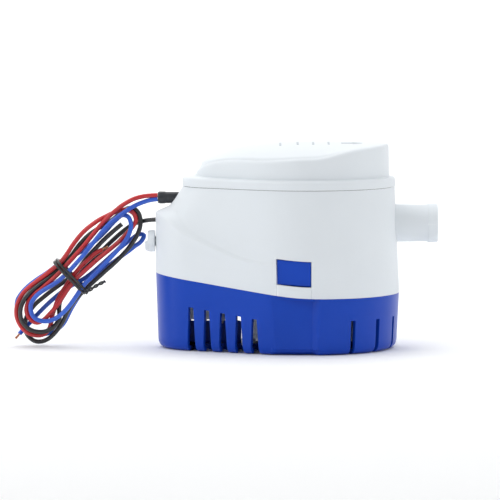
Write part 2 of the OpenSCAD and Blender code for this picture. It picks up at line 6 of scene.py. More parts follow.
import bmesh
import bpy
import numpy as np
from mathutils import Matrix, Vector


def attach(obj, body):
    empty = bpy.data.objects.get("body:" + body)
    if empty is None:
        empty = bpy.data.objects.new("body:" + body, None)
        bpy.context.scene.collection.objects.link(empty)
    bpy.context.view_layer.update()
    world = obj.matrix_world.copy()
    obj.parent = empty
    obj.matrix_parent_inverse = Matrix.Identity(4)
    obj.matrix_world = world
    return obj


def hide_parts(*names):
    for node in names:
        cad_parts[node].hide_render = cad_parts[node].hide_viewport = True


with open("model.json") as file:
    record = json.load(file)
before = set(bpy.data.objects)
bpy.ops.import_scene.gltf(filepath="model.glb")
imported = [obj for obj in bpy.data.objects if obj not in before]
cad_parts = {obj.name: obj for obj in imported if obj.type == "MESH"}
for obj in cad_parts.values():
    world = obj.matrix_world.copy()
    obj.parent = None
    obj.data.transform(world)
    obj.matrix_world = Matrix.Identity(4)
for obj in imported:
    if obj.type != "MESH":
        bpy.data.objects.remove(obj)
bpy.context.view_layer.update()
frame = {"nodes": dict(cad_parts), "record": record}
MM = 0.001

# -------------------- camera
cam_data = bpy.data.cameras.new("camera")
cam_data.sensor_width = 36
cam_data.lens = 276.9
cam_data.clip_end = 50
camera = bpy.data.objects.new("camera", cam_data)
bpy.context.scene.collection.objects.link(camera)
camera.location = (-0.0286, -2.0, 0.2074)
camera.rotation_euler = (math.radians(90 - 4.488), 0, 0)
bpy.context.scene.camera = camera

# -------------------- leads: routes in mm
RED_ROUTE = """
-76.7,0,79.1 -80.7,0,78.9 -84.6,0,78.4 -88.5,-0.1,77.4 -92.1,-0.3,75.7 -95.5,-0.6,73.6
-98.6,-0.8,71.1 -101.7,-0.8,68.4 -104.5,-0.8,65.6 -107.2,-0.8,62.6 -109.7,-0.8,59.5
-112.3,-0.8,56.4 -114.8,-0.8,53.3 -117.4,-0.8,50.3 -120.1,-0.8,47.3 -122.8,-0.9,44.3
-125.5,-0.9,41.3 -128.3,-1,38.4 -131.2,-0.9,35.6 -134.2,-0.8,32.9 -137.3,-0.6,30.3 -140.5,-0.5,27.9
-143.2,-0.4,25.1 -145,-0.4,21.6 -145.2,-0.4,17.7 -143.4,-0.5,14.3 -140.1,-0.7,12.4 -136.5,-0.9,13.8
-133.6,-1,16.5 -130.9,-1,19.5 -128.4,-1,22.7 -126.3,-1,26 -124.1,-1,29.4 -121.7,-1,32.6
-119.1,-1,35.7 -116.2,-1,38.4 -113.2,-1,41.1 -110.2,-1,43.8 -107.2,-1,46.4 -104.1,-0.9,48.9
-101,-0.8,51.4 -97.9,-0.6,54 -95.1,-0.3,56.7 -92.4,0,59.6 -89.8,0.3,62.6 -88.1,0.4,66
-89.4,0.6,69.6 -92.9,1.1,71.3 -96.7,1.7,71.1 -100.3,1.9,69.6 -103.8,1.8,67.9 -107.3,1.6,66.1
-110.6,1.3,63.9 -113.8,1.1,61.4 -116.6,0.9,58.7 -119.2,0.6,55.6 -121.5,0.2,52.4 -123.7,-0.1,49
-126,-0.3,45.8 -128.7,-0.4,42.8 -131.9,-0.3,40.4 -134.9,0.3,37.8 -138.1,0.8,35.4 -141.2,1.1,33
-144.3,1.4,30.5 -147.1,1.5,27.6 -149.2,1.6,24.2 -150.5,1.6,20.4 -150.7,1.5,16.4 -149.6,1.4,12.6
-147.4,1.3,9.2 -144.3,1.3,6.8 -140.5,1.4,5.6 -136.6,1.7,6.1 -133.7,1.9,8.8 -132.5,1.8,12.6
-131.8,1.7,16.5 -130.5,1.6,20.3 -129.1,1.4,24 -127.2,1.4,27.6 -125.1,1.4,30.9 -122.9,1.4,34.3
-120.5,1.3,37.5 -117.9,1.3,40.5 -115.1,1.3,43.4 -112.1,1.2,46.1 -109.1,1.1,48.7 -105.6,1,50.6
"""
BLUE_ROUTE = """
-76.7,0,77.1 -80.6,0,76.5 -84.4,-0.3,75.4 -88.1,-0.8,73.9 -91.5,-1.5,72 -94.8,-2.2,69.8
-98,-2.8,67.5 -101.1,-3.2,65 -103.9,-3.2,62.1 -106.5,-3.2,59.1 -109,-3.2,56 -111.5,-3.2,52.9
-114,-3.2,49.7 -116.5,-3.2,46.7 -119.2,-3.2,43.7 -121.9,-3.1,40.7 -124.7,-3,37.9 -127.7,-3,35.2
-130.9,-3,32.9 -134.3,-3.2,30.8 -137.6,-3.4,28.7 -140.6,-3.4,26 -142.7,-3.4,22.6 -142.8,-3.4,18.7
-141,-3.4,15.2 -137.4,-3.4,13.6 -133.4,-3.4,13.6 -129.7,-3.4,15.1 -126.5,-3.4,17.5 -123.7,-3.4,20.4
-121.3,-3.2,23.5 -119,-3.1,26.8 -116.8,-3,30.1 -114.4,-3,33.3 -111.6,-3,36.1 -108.8,-3,39
-106,-3,41.9 -103.2,-3,44.7 -100.4,-3,47.6 -97.7,-2.9,50.5 -95,-2.8,53.5 -92.7,-2.6,56.7
-91.1,-2.2,60.3 -90.6,-1.4,64.1 -92,-0.2,67.7 -95.3,1.2,68.5 -98.3,2.4,66.2 -101.1,3,63.4
-103.7,3.6,60.4 -106.5,4,57.6 -109.4,4.1,54.9 -112.5,4.2,52.4 -115.8,4.2,50.1 -119.2,4.2,48
-122.7,4.2,46 -126.2,4.2,44 -129.6,4.2,42.1 -132.8,4.2,39.6 -136,4.3,37.3 -139.4,4.4,35.1
-142.6,4.4,32.8 -145.6,4.4,30.2 -148.3,4.4,27.2 -150.3,4.3,23.8 -150.7,4.2,19.9 -150.7,4.1,15.9
-149.6,3.9,12.1 -147.2,3.6,9 -143.9,3.8,6.8 -140.1,4.2,5.8 -136.1,4.5,5.9 -132.3,4.9,7
-128.8,4.9,8.9 -126.1,4.7,11.7 -124.2,4.6,15.2 -122.4,4.5,18.8 -120.4,4.5,22.2 -118.2,4.4,25.6
-115.8,4.4,28.8 -113.3,4.4,31.8 -110.6,4.4,34.8 -107.7,4.4,37.6 -104.6,4.4,40.1 -101.5,4.4,42.6
-98.3,4.4,45 -95.1,4.4,47.3 -91.9,4.3,49.7 -88.7,4,52.2 -85.6,3.6,54.5 -83.9,3.7,57.9 -87,5.5,58.1
-90.3,6.2,55.9 -93.5,6.6,53.5 -96.6,6.8,51 -99.6,6.8,48.4 -102.5,6.8,45.7 -105.5,6.8,43
-108.5,6.8,40.3 -111.5,6.8,37.8 -114.7,6.8,35.4 -118.2,6.8,33.3 -121.7,6.8,31.4 -125.1,6.8,29.4
-128.3,6.8,27 -131.4,6.9,24.4 -134.3,6.9,21.8 -137.2,7.1,19 -140,7.2,16.1 -142.6,7.5,13.2
-145.3,7.7,10.2 -148.1,7.1,7.3 -149.4,6.4,5.8
"""
BLACK_ROUTE = """
-77.5,0,66.4 -81.4,1.1,66 -84.7,3.1,65.3 -87.5,5.8,64.3 -90.8,7.3,62.7 -94.1,7.7,60.4
-97.2,7.6,57.9 -100.2,7.4,55.2 -103.1,7.2,52.5 -105.9,7.1,49.7 -108.8,7,46.9 -111.7,6.9,44.1
-114.8,6.8,41.5 -117.9,6.8,39 -121.1,6.8,36.6 -124.4,6.8,34.3 -127.7,6.8,32 -130.9,6.8,29.7
-134.1,6.8,27.3 -137.2,6.7,24.8 -140.3,6.5,22.2 -143,6.4,19.2 -145.2,6.2,15.9 -146.4,5.9,12.1
-146.4,5.6,8 -144.5,5.5,4.5 -141.3,5.1,2.2 -137.4,4.6,2.1 -133.8,3.8,3.8 -130.9,3,6.5
-128.5,2.3,9.5 -126.4,1.8,12.9 -124.7,1.5,16.6 -122.8,1.4,20.1 -120.5,1.4,23.4 -117.9,1.5,26.4
-115.1,1.3,29.2 -112.2,0.9,32 -109.2,0.5,34.7 -106.3,0.2,37.4 -103.3,0.1,40.1 -100.3,-0,42.7
-97.4,-0.2,45.5 -94.6,-0.2,48.4 -92,-0.2,51.4 -89.6,-0.1,54.7 -87.5,0.1,58.2 -86,0.4,62
-85.7,0.7,66 -86.8,1.2,69.8 -89.8,2.2,72.3 -93.5,3.7,71.6 -96.6,4.7,69.2 -99.7,4.9,66.5
-103,4.1,64.3 -106.5,3.2,62.3 -109.8,2.3,60.3 -113,1.7,57.9 -115.9,1.6,55.1 -118.5,1.6,52.1
-120.8,1.6,48.8 -123.3,1.7,45.6 -126,1.7,42.7 -128.9,1.5,40 -131.8,1,37.4 -134.9,0.5,34.9
-138.1,-0.1,32.6 -141.3,-0.6,30.1 -144.2,-0.9,27.3 -146.6,-1,24.1 -148.2,-1,20.4 -148.5,-0.9,16.3
-147.3,-0.9,12.5 -144.6,-0.9,9.5 -141,-0.9,7.9 -137,-0.9,7.6 -133.2,-1,8.8 -130.1,-0.7,11.3
-128.2,0.2,14.7 -128.4,1.8,18.3 -128.2,3.4,22 -127,4,25.7 -125.1,3.9,29.3 -123.1,3.9,32.7
-120.9,4,36.1 -118.7,4,39.5 -116.4,3.8,42.7 -113.9,3.4,45.9 -111.3,2.9,48.9 -108.6,2.4,51.8
-105.8,2,54.7 -103,1.7,57.4 -100,1.5,60.1 -96.9,1.3,62.7 -95.4,1.2,63.9
"""


def route_points(text, step=1.0):
    """The route's smooth line, evenly spaced, in metres."""
    p = np.array([[float(v) for v in q.split(",")] for q in text.split()])
    a = np.vstack([2 * p[0] - p[1], p, 2 * p[-1] - p[-2]])
    t = np.linspace(0, 1, 8, endpoint=False)[:, None, None]
    p0, p1, p2, p3 = a[:-3], a[1:-2], a[2:-1], a[3:]
    q = 0.5 * (2 * p1 + (p2 - p0) * t + (2 * p0 - 5 * p1 + 4 * p2 - p3) * t**2
               + (3 * p1 - p0 - 3 * p2 + p3) * t**3)
    q = np.vstack([q.transpose(1, 0, 2).reshape(-1, 3), p[-1:]])
    d = np.r_[0, np.cumsum(np.linalg.norm(np.diff(q, axis=0), axis=1))]
    n = int(round(d[-1] / step))
    s = np.linspace(0, d[-1], n + 1)
    return np.stack([np.interp(s, d, q[:, k]) for k in range(3)], axis=1) * MM, d[-1] * MM


def link(obj, body="casing"):
    bpy.context.scene.collection.objects.link(obj)
    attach(obj, body)
    return obj


# -------------------- materials
def srgb(r, g, b):
    def lin(v):
        v /= 255
        return v / 12.92 if v <= 0.04045 else ((v + 0.055) / 1.055) ** 2.4
    return (lin(r), lin(g), lin(b), 1)


class Nodes:
    """A material's node tree, with short ways to add what these materials share."""

    def __init__(self, name):
        self.mat = bpy.data.materials.new(name)
        self.mat.use_nodes = True
        self.tree = self.mat.node_tree
        self.bsdf = self.tree.nodes["Principled BSDF"]
        self.place = self.add("ShaderNodeTexCoord").outputs["Object"]

    def add(self, kind, **values):
        node = self.tree.nodes.new(kind)
        for key, value in values.items():
            setattr(node, key, value)
        return node

    def join(self, a, b):
        self.tree.links.new(a, b)

    def stretched(self, scale):
        node = self.add("ShaderNodeMapping")
        node.inputs["Scale"].default_value = scale
        self.join(self.place, node.inputs["Vector"])
        return node.outputs["Vector"]

    def noise(self, scale, detail=4, rough=0.55, vector=None, distortion=0):
        node = self.add("ShaderNodeTexNoise")
        node.inputs["Scale"].default_value = scale
        node.inputs["Detail"].default_value = detail
        node.inputs["Roughness"].default_value = rough
        node.inputs["Distortion"].default_value = distortion
        self.join(vector or self.place, node.inputs["Vector"])
        return node.outputs["Fac"]

    def bands(self, direction, scale, distortion):
        node = self.add("ShaderNodeTexWave", wave_type="BANDS", bands_direction=direction)
        node.inputs["Scale"].default_value = scale
        node.inputs["Distortion"].default_value = distortion
        self.join(self.place, node.inputs["Vector"])
        return node.outputs["Fac"]

    def ramp(self, value, stops):
        node = self.add("ShaderNodeValToRGB")
        ends = node.color_ramp.elements
        while len(ends) < len(stops):
            ends.new(0.5)
        for end, (at, colour) in zip(ends, stops):
            end.position, end.color = at, colour
        self.join(value, node.inputs["Fac"])
        return node.outputs["Color"]

    def span(self, value, low, high, start=0.0, stop=1.0):
        node = self.add("ShaderNodeMapRange")
        for key, v in (("From Min", start), ("From Max", stop), ("To Min", low), ("To Max", high)):
            node.inputs[key].default_value = v
        self.join(value, node.inputs["Value"])
        return node.outputs["Result"]

    def blend(self, fac, a, b, kind="MIX"):
        node = self.add("ShaderNodeMix", data_type="RGBA", blend_type=kind)
        for socket, v in ((0, fac), (6, a), (7, b)):
            if isinstance(v, (float, int, tuple)):
                node.inputs[socket].default_value = v
            else:
                self.join(v, node.inputs[socket])
        return node.outputs[2]

    def edge(self, low, high):
        """1 on sharp outer edges, where the materials paint their edge highlights, 0 on flats and in hollows.
        """
        geometry = self.add("ShaderNodeNewGeometry")
        return self.span(geometry.outputs["Pointiness"], 0, 1, low, high)

    def bump(self, *layers):
        """Each layer is (height output, distance in mm, strength)."""
        normal = None
        for height, distance, strength in layers:
            node = self.add("ShaderNodeBump")
            node.inputs["Distance"].default_value = distance * MM
            node.inputs["Strength"].default_value = strength
            self.join(height, node.inputs["Height"])
            if normal:
                self.join(normal, node.inputs["Normal"])
            normal = node.outputs["Normal"]
        self.join(normal, self.bsdf.inputs["Normal"])

    def finish(self, colour, roughness, *layers, **values):
        """Joins colour and roughness, adds the bump layers and sets what else the shader takes."""
        self.join(colour, self.bsdf.inputs["Base Color"])
        self.join(roughness, self.bsdf.inputs["Roughness"])
        self.bump(*layers)
        for key, value in values.items():
            self.bsdf.inputs[key.replace("_", " ")].default_value = value
        return self.mat


def scaled(colour, factor, lift=0.0):
    """A colour times factor plus lift, held at 1."""
    return tuple(min(1, c * factor + lift) for c in colour[:3]) + (1,)


def moulded(name, colour, spread=0.03, rough=(0.3, 0.42), grain=0.006, sss=0.0, dust=0.0,
            painted_edge_highlight=0.05, shine=0.5):
    """Moulded plastic: cloudy pigment, faint flow lines, fine grain, scuffs and a painted highlight that
    lightens sharp edges.
    """
    m = Nodes(name)
    cloud = m.noise(38, 5, 0.6)
    flow = m.noise(30, 3, 0.5, m.stretched((1, 1, 9)), 0.6)
    scuff = m.noise(180, 3, 0.5, m.stretched((1, 6, 1)))
    grain_tex = m.noise(3200, 2, 0.5)
    low = scaled(colour, 1 - spread)
    base = m.ramp(cloud, [(0.3, low), (0.7, scaled(colour, 1 + spread, spread * 0.05))])
    base = m.blend(m.span(flow, 0, 0.25, 0.45, 0.75), base, low)
    if dust:
        base = m.blend(m.span(scuff, 0, dust, 0.55, 0.8), base, srgb(190, 190, 184))
    # painted highlight: sharp outer edges get a lighter colour, as if they caught the light
    base = m.blend(m.span(m.edge(0.53, 0.66), 0, 0.35), base, scaled(colour, 1.25, painted_edge_highlight))
    depth = {}
    if sss:
        depth = dict(Subsurface_Weight=sss, Subsurface_Scale=0.002, Subsurface_Radius=(1, 0.95, 0.9))
    return m.finish(base, m.span(scuff, *rough, 0.3, 0.75), (cloud, 0.02, 0.05), (flow, 0.01, 0.04),
                    (grain_tex, grain, 0.2), IOR=1.49, Specular_IOR_Level=shine, **depth)


def brushed(name, colour, rough=(0.22, 0.4), stain=None, stretch=(1, 1, 40)):
    """Metal with drawn or rolled lines, dulled patches, small pits and a painted highlight on sharp edges."""
    m = Nodes(name)
    lines = m.noise(420, 4, 0.6, m.stretched(stretch))
    patch = m.noise(55, 5, 0.6)
    pits = m.noise(1900, 2, 0.5)
    dark = stain or scaled(colour, 0.72)
    base = m.ramp(patch, [(0.32, dark), (0.62, colour)])
    base = m.blend(m.span(lines, 0, 0.3, 0.4, 0.8), base, dark)
    # painted highlight: sharp outer edges whitened, as if they caught the light
    base = m.blend(m.span(m.edge(0.54, 0.68), 0, 0.5), base, (0.9, 0.88, 0.84, 1))
    return m.finish(base, m.span(lines, *rough, 0.3, 0.7), (lines, 0.01, 0.5), (pits, 0.006, 0.35),
                    Metallic=1.0)


def rubber(name, colour, rough=(0.5, 0.68), bloom=0.12):
    """Rubber or soft vinyl: matt skin, pale bloom in patches, fine skin grain."""
    m = Nodes(name)
    cloud = m.noise(90, 5, 0.6)
    skin = m.noise(1600, 3, 0.6)
    scratch = m.noise(500, 5, 0.7, m.stretched((5, 1, 1)))
    pale = scaled(colour, 1, bloom * 0.2)
    base = m.ramp(cloud, [(0.35, colour), (0.75, pale)])
    base = m.blend(m.span(scratch, 0, 0.3, 0.58, 0.8), base, pale)
    return m.finish(base, m.span(cloud, *rough, 0.3, 0.7), (cloud, 0.05, 0.3), (skin, 0.008, 0.5), IOR=1.5)


def vinyl_wire(name, colour, shade):
    """PVC lead insulation: gloss with extrusion waves, finger marks and slight colour drift."""
    m = Nodes(name)
    drift = m.noise(60, 4, 0.6)
    waves = m.noise(700, 3, 0.5)
    marks = m.noise(240, 5, 0.65)
    base = m.ramp(drift, [(0.3, shade), (0.68, colour)])
    base = m.blend(m.span(marks, 0, 0.2, 0.55, 0.8), base, scaled(colour, 1.3, 0.01))
    return m.finish(base, m.span(marks, 0.26, 0.42, 0.3, 0.75), (waves, 0.02, 0.3), (marks, 0.01, 0.25),
                    IOR=1.53, Coat_Weight=0.5, Coat_Roughness=0.12)


def speckled(name, colour, second, scale, rough=(0.45, 0.7), metal=0.0, height=0.02):
    """Sintered, cast or foamed stuff: two-tone grains with matching pits."""
    m = Nodes(name)
    grains = m.noise(scale, 4, 0.7)
    cells = m.add("ShaderNodeTexVoronoi")
    cells.inputs["Scale"].default_value = scale * 0.6
    m.join(m.place, cells.inputs["Vector"])
    cloud = m.noise(60, 4, 0.6)
    base = m.ramp(grains, [(0.45, colour), (0.6, second)])
    base = m.blend(m.span(cloud, 0, 0.3, 0.4, 0.7), base, colour)
    return m.finish(base, m.span(grains, *rough, 0.3, 0.7), (cells.outputs["Distance"], height, 0.4),
                    (grains, height, 0.5), Metallic=metal)


def laminated(name):
    """Stacked steel sheets: fine edges across the stack's height."""
    m = Nodes(name)
    sheets = m.bands("Z", 320, 0.4)
    stain = m.noise(140, 5, 0.6)
    base = m.ramp(sheets, [(0.1, srgb(70, 72, 76)), (0.6, srgb(150, 152, 156))])
    base = m.blend(m.span(stain, 0, 0.4, 0.45, 0.75), base, srgb(96, 78, 62))
    return m.finish(base, m.span(stain, 0.3, 0.5, 0.3, 0.7), (sheets, 0.06, 0.6), (stain, 0.02, 0.3),
                    Metallic=0.9)


def wound(name, colour, dark):
    """Enamelled copper wire laid in turns."""
    m = Nodes(name)
    turns = m.bands("DIAGONAL", 520, 1.2)
    tint = m.noise(120, 4, 0.6)
    base = m.ramp(turns, [(0.1, dark), (0.6, colour)])
    base = m.blend(m.span(tint, 0, 0.4, 0.4, 0.7), base, dark)
    return m.finish(base, m.span(tint, 0.2, 0.38, 0.3, 0.7), (turns, 0.1, 0.7), (tint, 0.02, 0.3),
                    Metallic=0.85, Coat_Weight=0.4, Coat_Roughness=0.15)


def glassy(name):
    """A reed capsule's green-tinted glass."""
    m = Nodes(name)
    streak = m.noise(300, 3, 0.5, m.stretched((0.2, 1, 1)))
    specks = m.noise(1400, 3, 0.6)
    base = m.ramp(streak, [(0.3, srgb(150, 205, 190)), (0.7, srgb(205, 232, 222))])
    return m.finish(base, m.span(specks, 0.03, 0.12, 0.4, 0.8), (streak, 0.01, 0.3), (specks, 0.004, 0.3),
                    Transmission_Weight=0.7, IOR=1.5)


WHITE = srgb(228, 233, 237)
BLUE = srgb(12, 66, 178)
MATERIALS = {
    "white_plastic": moulded("white_plastic", WHITE, 0.01, (0.42, 0.5), 0.005, sss=0.12, painted_edge_highlight=0.02,
                             shine=0.2),
    "blue_plastic": moulded("blue_plastic", BLUE, 0.04, (0.3, 0.36), 0.004, painted_edge_highlight=0.004, shine=0.22),
    "grey_plastic": moulded("grey_plastic", srgb(196, 202, 207), 0.03, (0.36, 0.5), 0.008),
    "black_plastic": moulded("black_plastic", srgb(30, 31, 34), 0.12, (0.34, 0.5), 0.01, dust=0.08),
    "black_rubber": rubber("black_rubber", srgb(26, 26, 28)),
    "zinc_steel": brushed("zinc_steel", srgb(196, 198, 198)),
    "laminated_steel": laminated("laminated_steel"),
    "ferrite": speckled("ferrite", srgb(44, 44, 47), srgb(66, 66, 70), 1400),
    "carbon": speckled("carbon", srgb(34, 33, 33), srgb(74, 72, 70), 2200, (0.3, 0.5), 0.2),
    "copper_wire": wound("copper_wire", srgb(198, 116, 66), srgb(120, 58, 30)),
    "brass_parts": brushed("brass_parts", srgb(200, 168, 92), (0.25, 0.42), srgb(150, 112, 52), (1, 1, 12)),
    "float_foam": speckled("float_foam", srgb(206, 206, 200), srgb(228, 228, 222), 700, (0.7, 0.9), 0, 0.08),
    "board_green": speckled("board_green", srgb(24, 92, 54), srgb(36, 112, 66), 500, (0.25, 0.45), 0, 0.01),
    "reed_glass": glassy("reed_glass"),
    "ceramic_orange": speckled("ceramic_orange", srgb(198, 128, 44), srgb(214, 150, 64), 1100, (0.3, 0.5), 0,
                               0.01),
    "wire_red": vinyl_wire("wire_red", srgb(206, 22, 30), srgb(176, 12, 22)),
    "wire_blue": vinyl_wire("wire_blue", srgb(30, 98, 214), srgb(18, 76, 190)),
    "wire_black": vinyl_wire("wire_black", srgb(26, 28, 32), srgb(15, 16, 19)),
    "sleeve_black": rubber("sleeve_black", srgb(32, 35, 42), (0.22, 0.4), 0.1),
    "tie_black": vinyl_wire("tie_black", srgb(24, 25, 28), srgb(14, 14, 16)),
    "bright_copper": brushed("bright_copper", srgb(222, 150, 96), (0.2, 0.34), srgb(180, 104, 60),
                             (30, 1, 1)),
    "mark_grey": moulded("mark_grey", srgb(186, 192, 199), 0.03, (0.4, 0.5)),
}
SLOT_OF = {part["node"]: part["material_slot"] for part in frame["record"]["subparts"]}
for node, obj in frame["nodes"].items():
    obj.data.materials.clear()
    obj.data.materials.append(MATERIALS[SLOT_OF[node]])


# -------------------- mesh helpers
def mesh_piece(name, verts, faces, slot, body="casing", node=None, smooth=40, mat=None):
    """A piece from points in mm. smooth is the angle, in degrees, above which an edge stays sharp."""
    mesh = bpy.data.meshes.new(name)
    mesh.from_pydata([tuple(float(c) * MM for c in v) for v in verts], [], faces)
    mesh.validate()
    clean = bmesh.new()
    clean.from_mesh(mesh)
    bmesh.ops.remove_doubles(clean, verts=clean.verts, dist=1e-6)
    bmesh.ops.recalc_face_normals(clean, faces=clean.faces)
    clean.to_mesh(mesh)
    clean.free()
    mesh.materials.append(MATERIALS[mat or slot])
    for face in mesh.polygons:
        face.use_smooth = True
    mesh.set_sharp_from_angle(angle=math.radians(smooth))
    obj = link(bpy.data.objects.new(name, mesh), body)
    if node:
        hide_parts(node)
    return obj


def add_bevel(obj, width, segments=2, angle=35):
    mod = obj.modifiers.new("bevel", "BEVEL")
    mod.width = width * MM
    mod.segments = segments
    mod.limit_method = "ANGLE"
    mod.angle_limit = math.radians(angle)
    mod.harden_normals = True
    return obj


def loft(rings, loop=False):
    """Vertices and faces of a skin over rings of equal length. A loop joins the last ring to the first."""
    n, m = len(rings[0]), len(rings)
    verts = [p for r in rings for p in r]
    faces = []
    for k in range(m if loop else m - 1):
        for i in range(n):
            a, b = k * n + i, k * n + (i + 1) % n
            c, d = ((k + 1) % m) * n + i, ((k + 1) % m) * n + (i + 1) % n
            faces.append((a, b, d, c))
    if not loop:
        faces.append(tuple(range(n - 1, -1, -1)))
        faces.append(tuple((m - 1) * n + i for i in range(n)))
    return verts, faces


def turned_ring(axis, along, r, centre, count, shift=0.0):
    """Points (mm) round an axis, turned by shift steps."""
    ring = []
    for i in range(count):
        t = 2 * math.pi * (i + shift) / count
        a, b = r * math.cos(t), r * math.sin(t)
        p = (along, a, b) if axis == "x" else (a, b, along)
        ring.append(tuple(u + v for u, v in zip(p, centre)))
    return ring


def lathe(name, profile, slot, axis="x", centre=(0, 0, 0), count=96, **more):
    """Turns a closed profile of (along, radius) points, in mm, round an axis."""
    verts, faces = loft([turned_ring(axis, along, r, centre, count) for along, r in profile], loop=True)
    return mesh_piece(name, verts, faces, slot, **more)


def base_slab(name, outline, y0, y1, bevel):
    """A slab of the strainer base between y0 and y1, with an outline in X and Z."""
    verts, faces = loft([[(x, y, z) for x, z in outline] for y in (y0, y1)])
    slab = mesh_piece(name, verts, faces, "blue_plastic", node="strainer_base")
    add_bevel(slab, bevel)


def tube(points, r, sides=12):
    """Rings of a round tube along points (mm), turning as little as it can."""
    p = np.array(points, float)
    d = np.gradient(p, axis=0)
    d /= np.linalg.norm(d, axis=1)[:, None]
    u = np.cross(d[0], [0, 1, 0.2])
    rings = []
    for q, t in zip(p, d):
        u = u - t * (u @ t)
        u /= np.linalg.norm(u)
        v = np.cross(t, u)
        rings.append([tuple(q + r * (math.cos(a) * u + math.sin(a) * v))
                      for a in (2 * math.pi * k / sides for k in range(sides))])
    return rings


# -------------------- leads
WIRE_D = 0.0024


def lead(name, text, node, slot, with_pieces):
    points, length = route_points(text)
    curve = bpy.data.curves.new(name, "CURVE")
    curve.dimensions = "3D"
    curve.bevel_depth = WIRE_D / 2
    curve.bevel_resolution = 5
    curve.use_fill_caps = True
    line = curve.splines.new("POLY")
    line.points.add(len(points) - 1)
    line.points.foreach_set("co", np.column_stack([points, np.ones(len(points))]).ravel())
    line.use_smooth = True
    curve.materials.append(MATERIALS[slot])
    obj = link(bpy.data.objects.new(name, curve))
    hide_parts(node, "wire_hank")


def stripped_end(name, text):
    """Bright copper strands that show at a lead's cut end: one in the middle and six twisted round it."""
    points, _ = route_points(text)
    tip = points[-1]
    way = tip - points[-4]
    way /= np.linalg.norm(way)
    side = np.cross(way, [0, 1, 0])
    side /= np.linalg.norm(side)
    up = np.cross(way, side)
    verts, faces = [], []
    for k in range(7):
        r0 = 0 if k == 0 else 0.00034
        path = []
        for i in range(16):
            s = i / 15
            a = 2 * math.pi * k / 6 + 2.4 * s
            r = r0 * (1 + 0.5 * s * s)
            along = tip + way * (0.0038 * s - 0.0006)
            path.append(tuple((along + side * r * math.cos(a) + up * r * math.sin(a)) / MM))
        v, f = loft(tube(path, 0.17, 8))
        faces += [tuple(n + len(verts) for n in q) for q in f]
        verts += v
    return mesh_piece(name, verts, faces, "copper_wire", mat="bright_copper", smooth=70)


lead("red_lead_wire", RED_ROUTE, "red_lead", "wire_red",
     [stripped_end("red_strands", RED_ROUTE)])
lead("blue_lead_wire", BLUE_ROUTE, "blue_lead", "wire_blue",
     [stripped_end("blue_strands", BLUE_ROUTE)])
lead("black_lead_wire", BLACK_ROUTE, "black_lead", "wire_black", [])

# -------------------- the casing's form, in mm
BODY_R, NOSE_R, NOSE_REACH = 49.3, 28.4, 49.4
TOP_R, TOP_NOSE_R, TOP_REACH = 46.8, 26.0, 37.4
DOME_R, DOME_NOSE_R, DOME_REACH = 44.0, 24.4, 33.0
WALL = 2.4
SEAM_H, RIDGE_H, RIM_H, RIM_TOP, CROWN_H = 28.8, 46.5, 84.0, 89.0, 107.3
DOME_TIP_H = 90.2
WINDOW_X = (-15.1, 2.8)
WINDOW_LIFT = (5.7, 18.85)
WINDOW_SIDE_Y, SLOT_SIDE_Y = 40, 20
PANEL_X = (-18.6, -15.5, 3.3, 7.4)
PANEL_Y = 45.4
GROOVE, GROOVE_DEPTH = 0.28, 0.35
EPS = 1e-6


def smooth(t):
    """0 below t = 0 and 1 above t = 1, with a soft step between."""
    u = np.clip(t, 0, 1)
    return u * u * (3 - 2 * u)


def bend(u, s):
    """0 for low u and u for high u, with a bend about s wide."""
    return (u + np.sqrt(u * u + s * s)) / 2


def seam_z(x):
    """Height of the seam between the housing and the base."""
    return SEAM_H + 0.14 * bend(-4 - x, 10)


def ridge_z(x):
    """Height of the shoulder's ridge, which rises towards the nose."""
    return RIDGE_H - 1.45 + bend(-x - 31, 14) / 2 + 3.2 * smooth((-x - 62) / 12)


def lean(x, z):
    """How far the wall has moved from the seam's outline (0) to the rim's (1)."""
    draft = np.maximum(0, (z - SEAM_H) / (RIM_H - SEAM_H))
    zr = ridge_z(x)
    step = 0.3 + 0.18 * smooth((-x - 66) / 11)
    half = 1.2 + 0.9 * smooth((-x - 60) / 14)
    above = np.maximum(0, (z - zr - 1) / (RIM_H - zr - 1))
    left = step * smooth((z - zr + half) / (2 * half)) + (1 - step) * above
    return draft + (left - draft) * smooth((-x - 11) / 13)


def fill(anchors, pitch):
    """Values from the first anchor to the last, through every anchor, no further apart than pitch."""
    anchors = sorted(set(round(a, 6) for a in anchors))
    out = [anchors[0]]
    for a, b in zip(anchors, anchors[1:]):
        n = max(1, int(math.ceil((b - a) / pitch)))
        out += [a + (b - a) * i / n for i in range(1, n + 1)]
    return out


SLOTS = [-59.4 + 8.15 * i for i in range(5)]
FANS = [math.radians(a) for a in (-60, -40, -20, 0, 20, 40, 60)]
SLOT_TOP, SLOT_FOOT, FAN_HALF = 1.25, 2.1, 1.4


def corner(r0, reach, r1):
    """Angle at which the straight side leaves the round body."""
    return math.acos((r1 - r0) / reach)


FLARE = corner(BODY_R, NOSE_REACH, NOSE_R)


def plan_columns():
    """The casing's columns, anticlockwise: ("arc", angle), ("side", sign, share) or ("nose", angle)."""
    f = FLARE
    marks = [0, f]
    for x in WINDOW_X:
        marks += [math.acos((x + d) / BODY_R) for d in (-GROOVE, 0, GROOVE)]
    marks += [math.acos(x / BODY_R) for x in PANEL_X]
    marks += [abs(a) + s * math.asin(FAN_HALF / BODY_R) for a in FANS for s in (-1, 1)]
    half = fill([m for m in marks if m >= 0], math.radians(1.7))
    ax, bx = BODY_R * math.cos(f), -NOSE_REACH + NOSE_R * math.cos(f)
    shares = [0, 1]
    for c in SLOTS:
        for d in (-SLOT_TOP, SLOT_TOP):
            if bx < c + d < ax:
                shares.append((c + d - ax) / (bx - ax))
    shares = fill(shares, 1.5 / (ax - bx))
    turn = 2 * math.pi - 2 * f
    columns = [("arc", -a) for a in half[:0:-1]] + [("arc", a) for a in half]
    columns += [("side", 1, s) for s in shares[1:-1]]
    columns += [("nose", f + turn * i / 56) for i in range(57)]
    columns += [("side", -1, s) for s in shares[-2:0:-1]]
    return columns


COLUMNS = plan_columns()


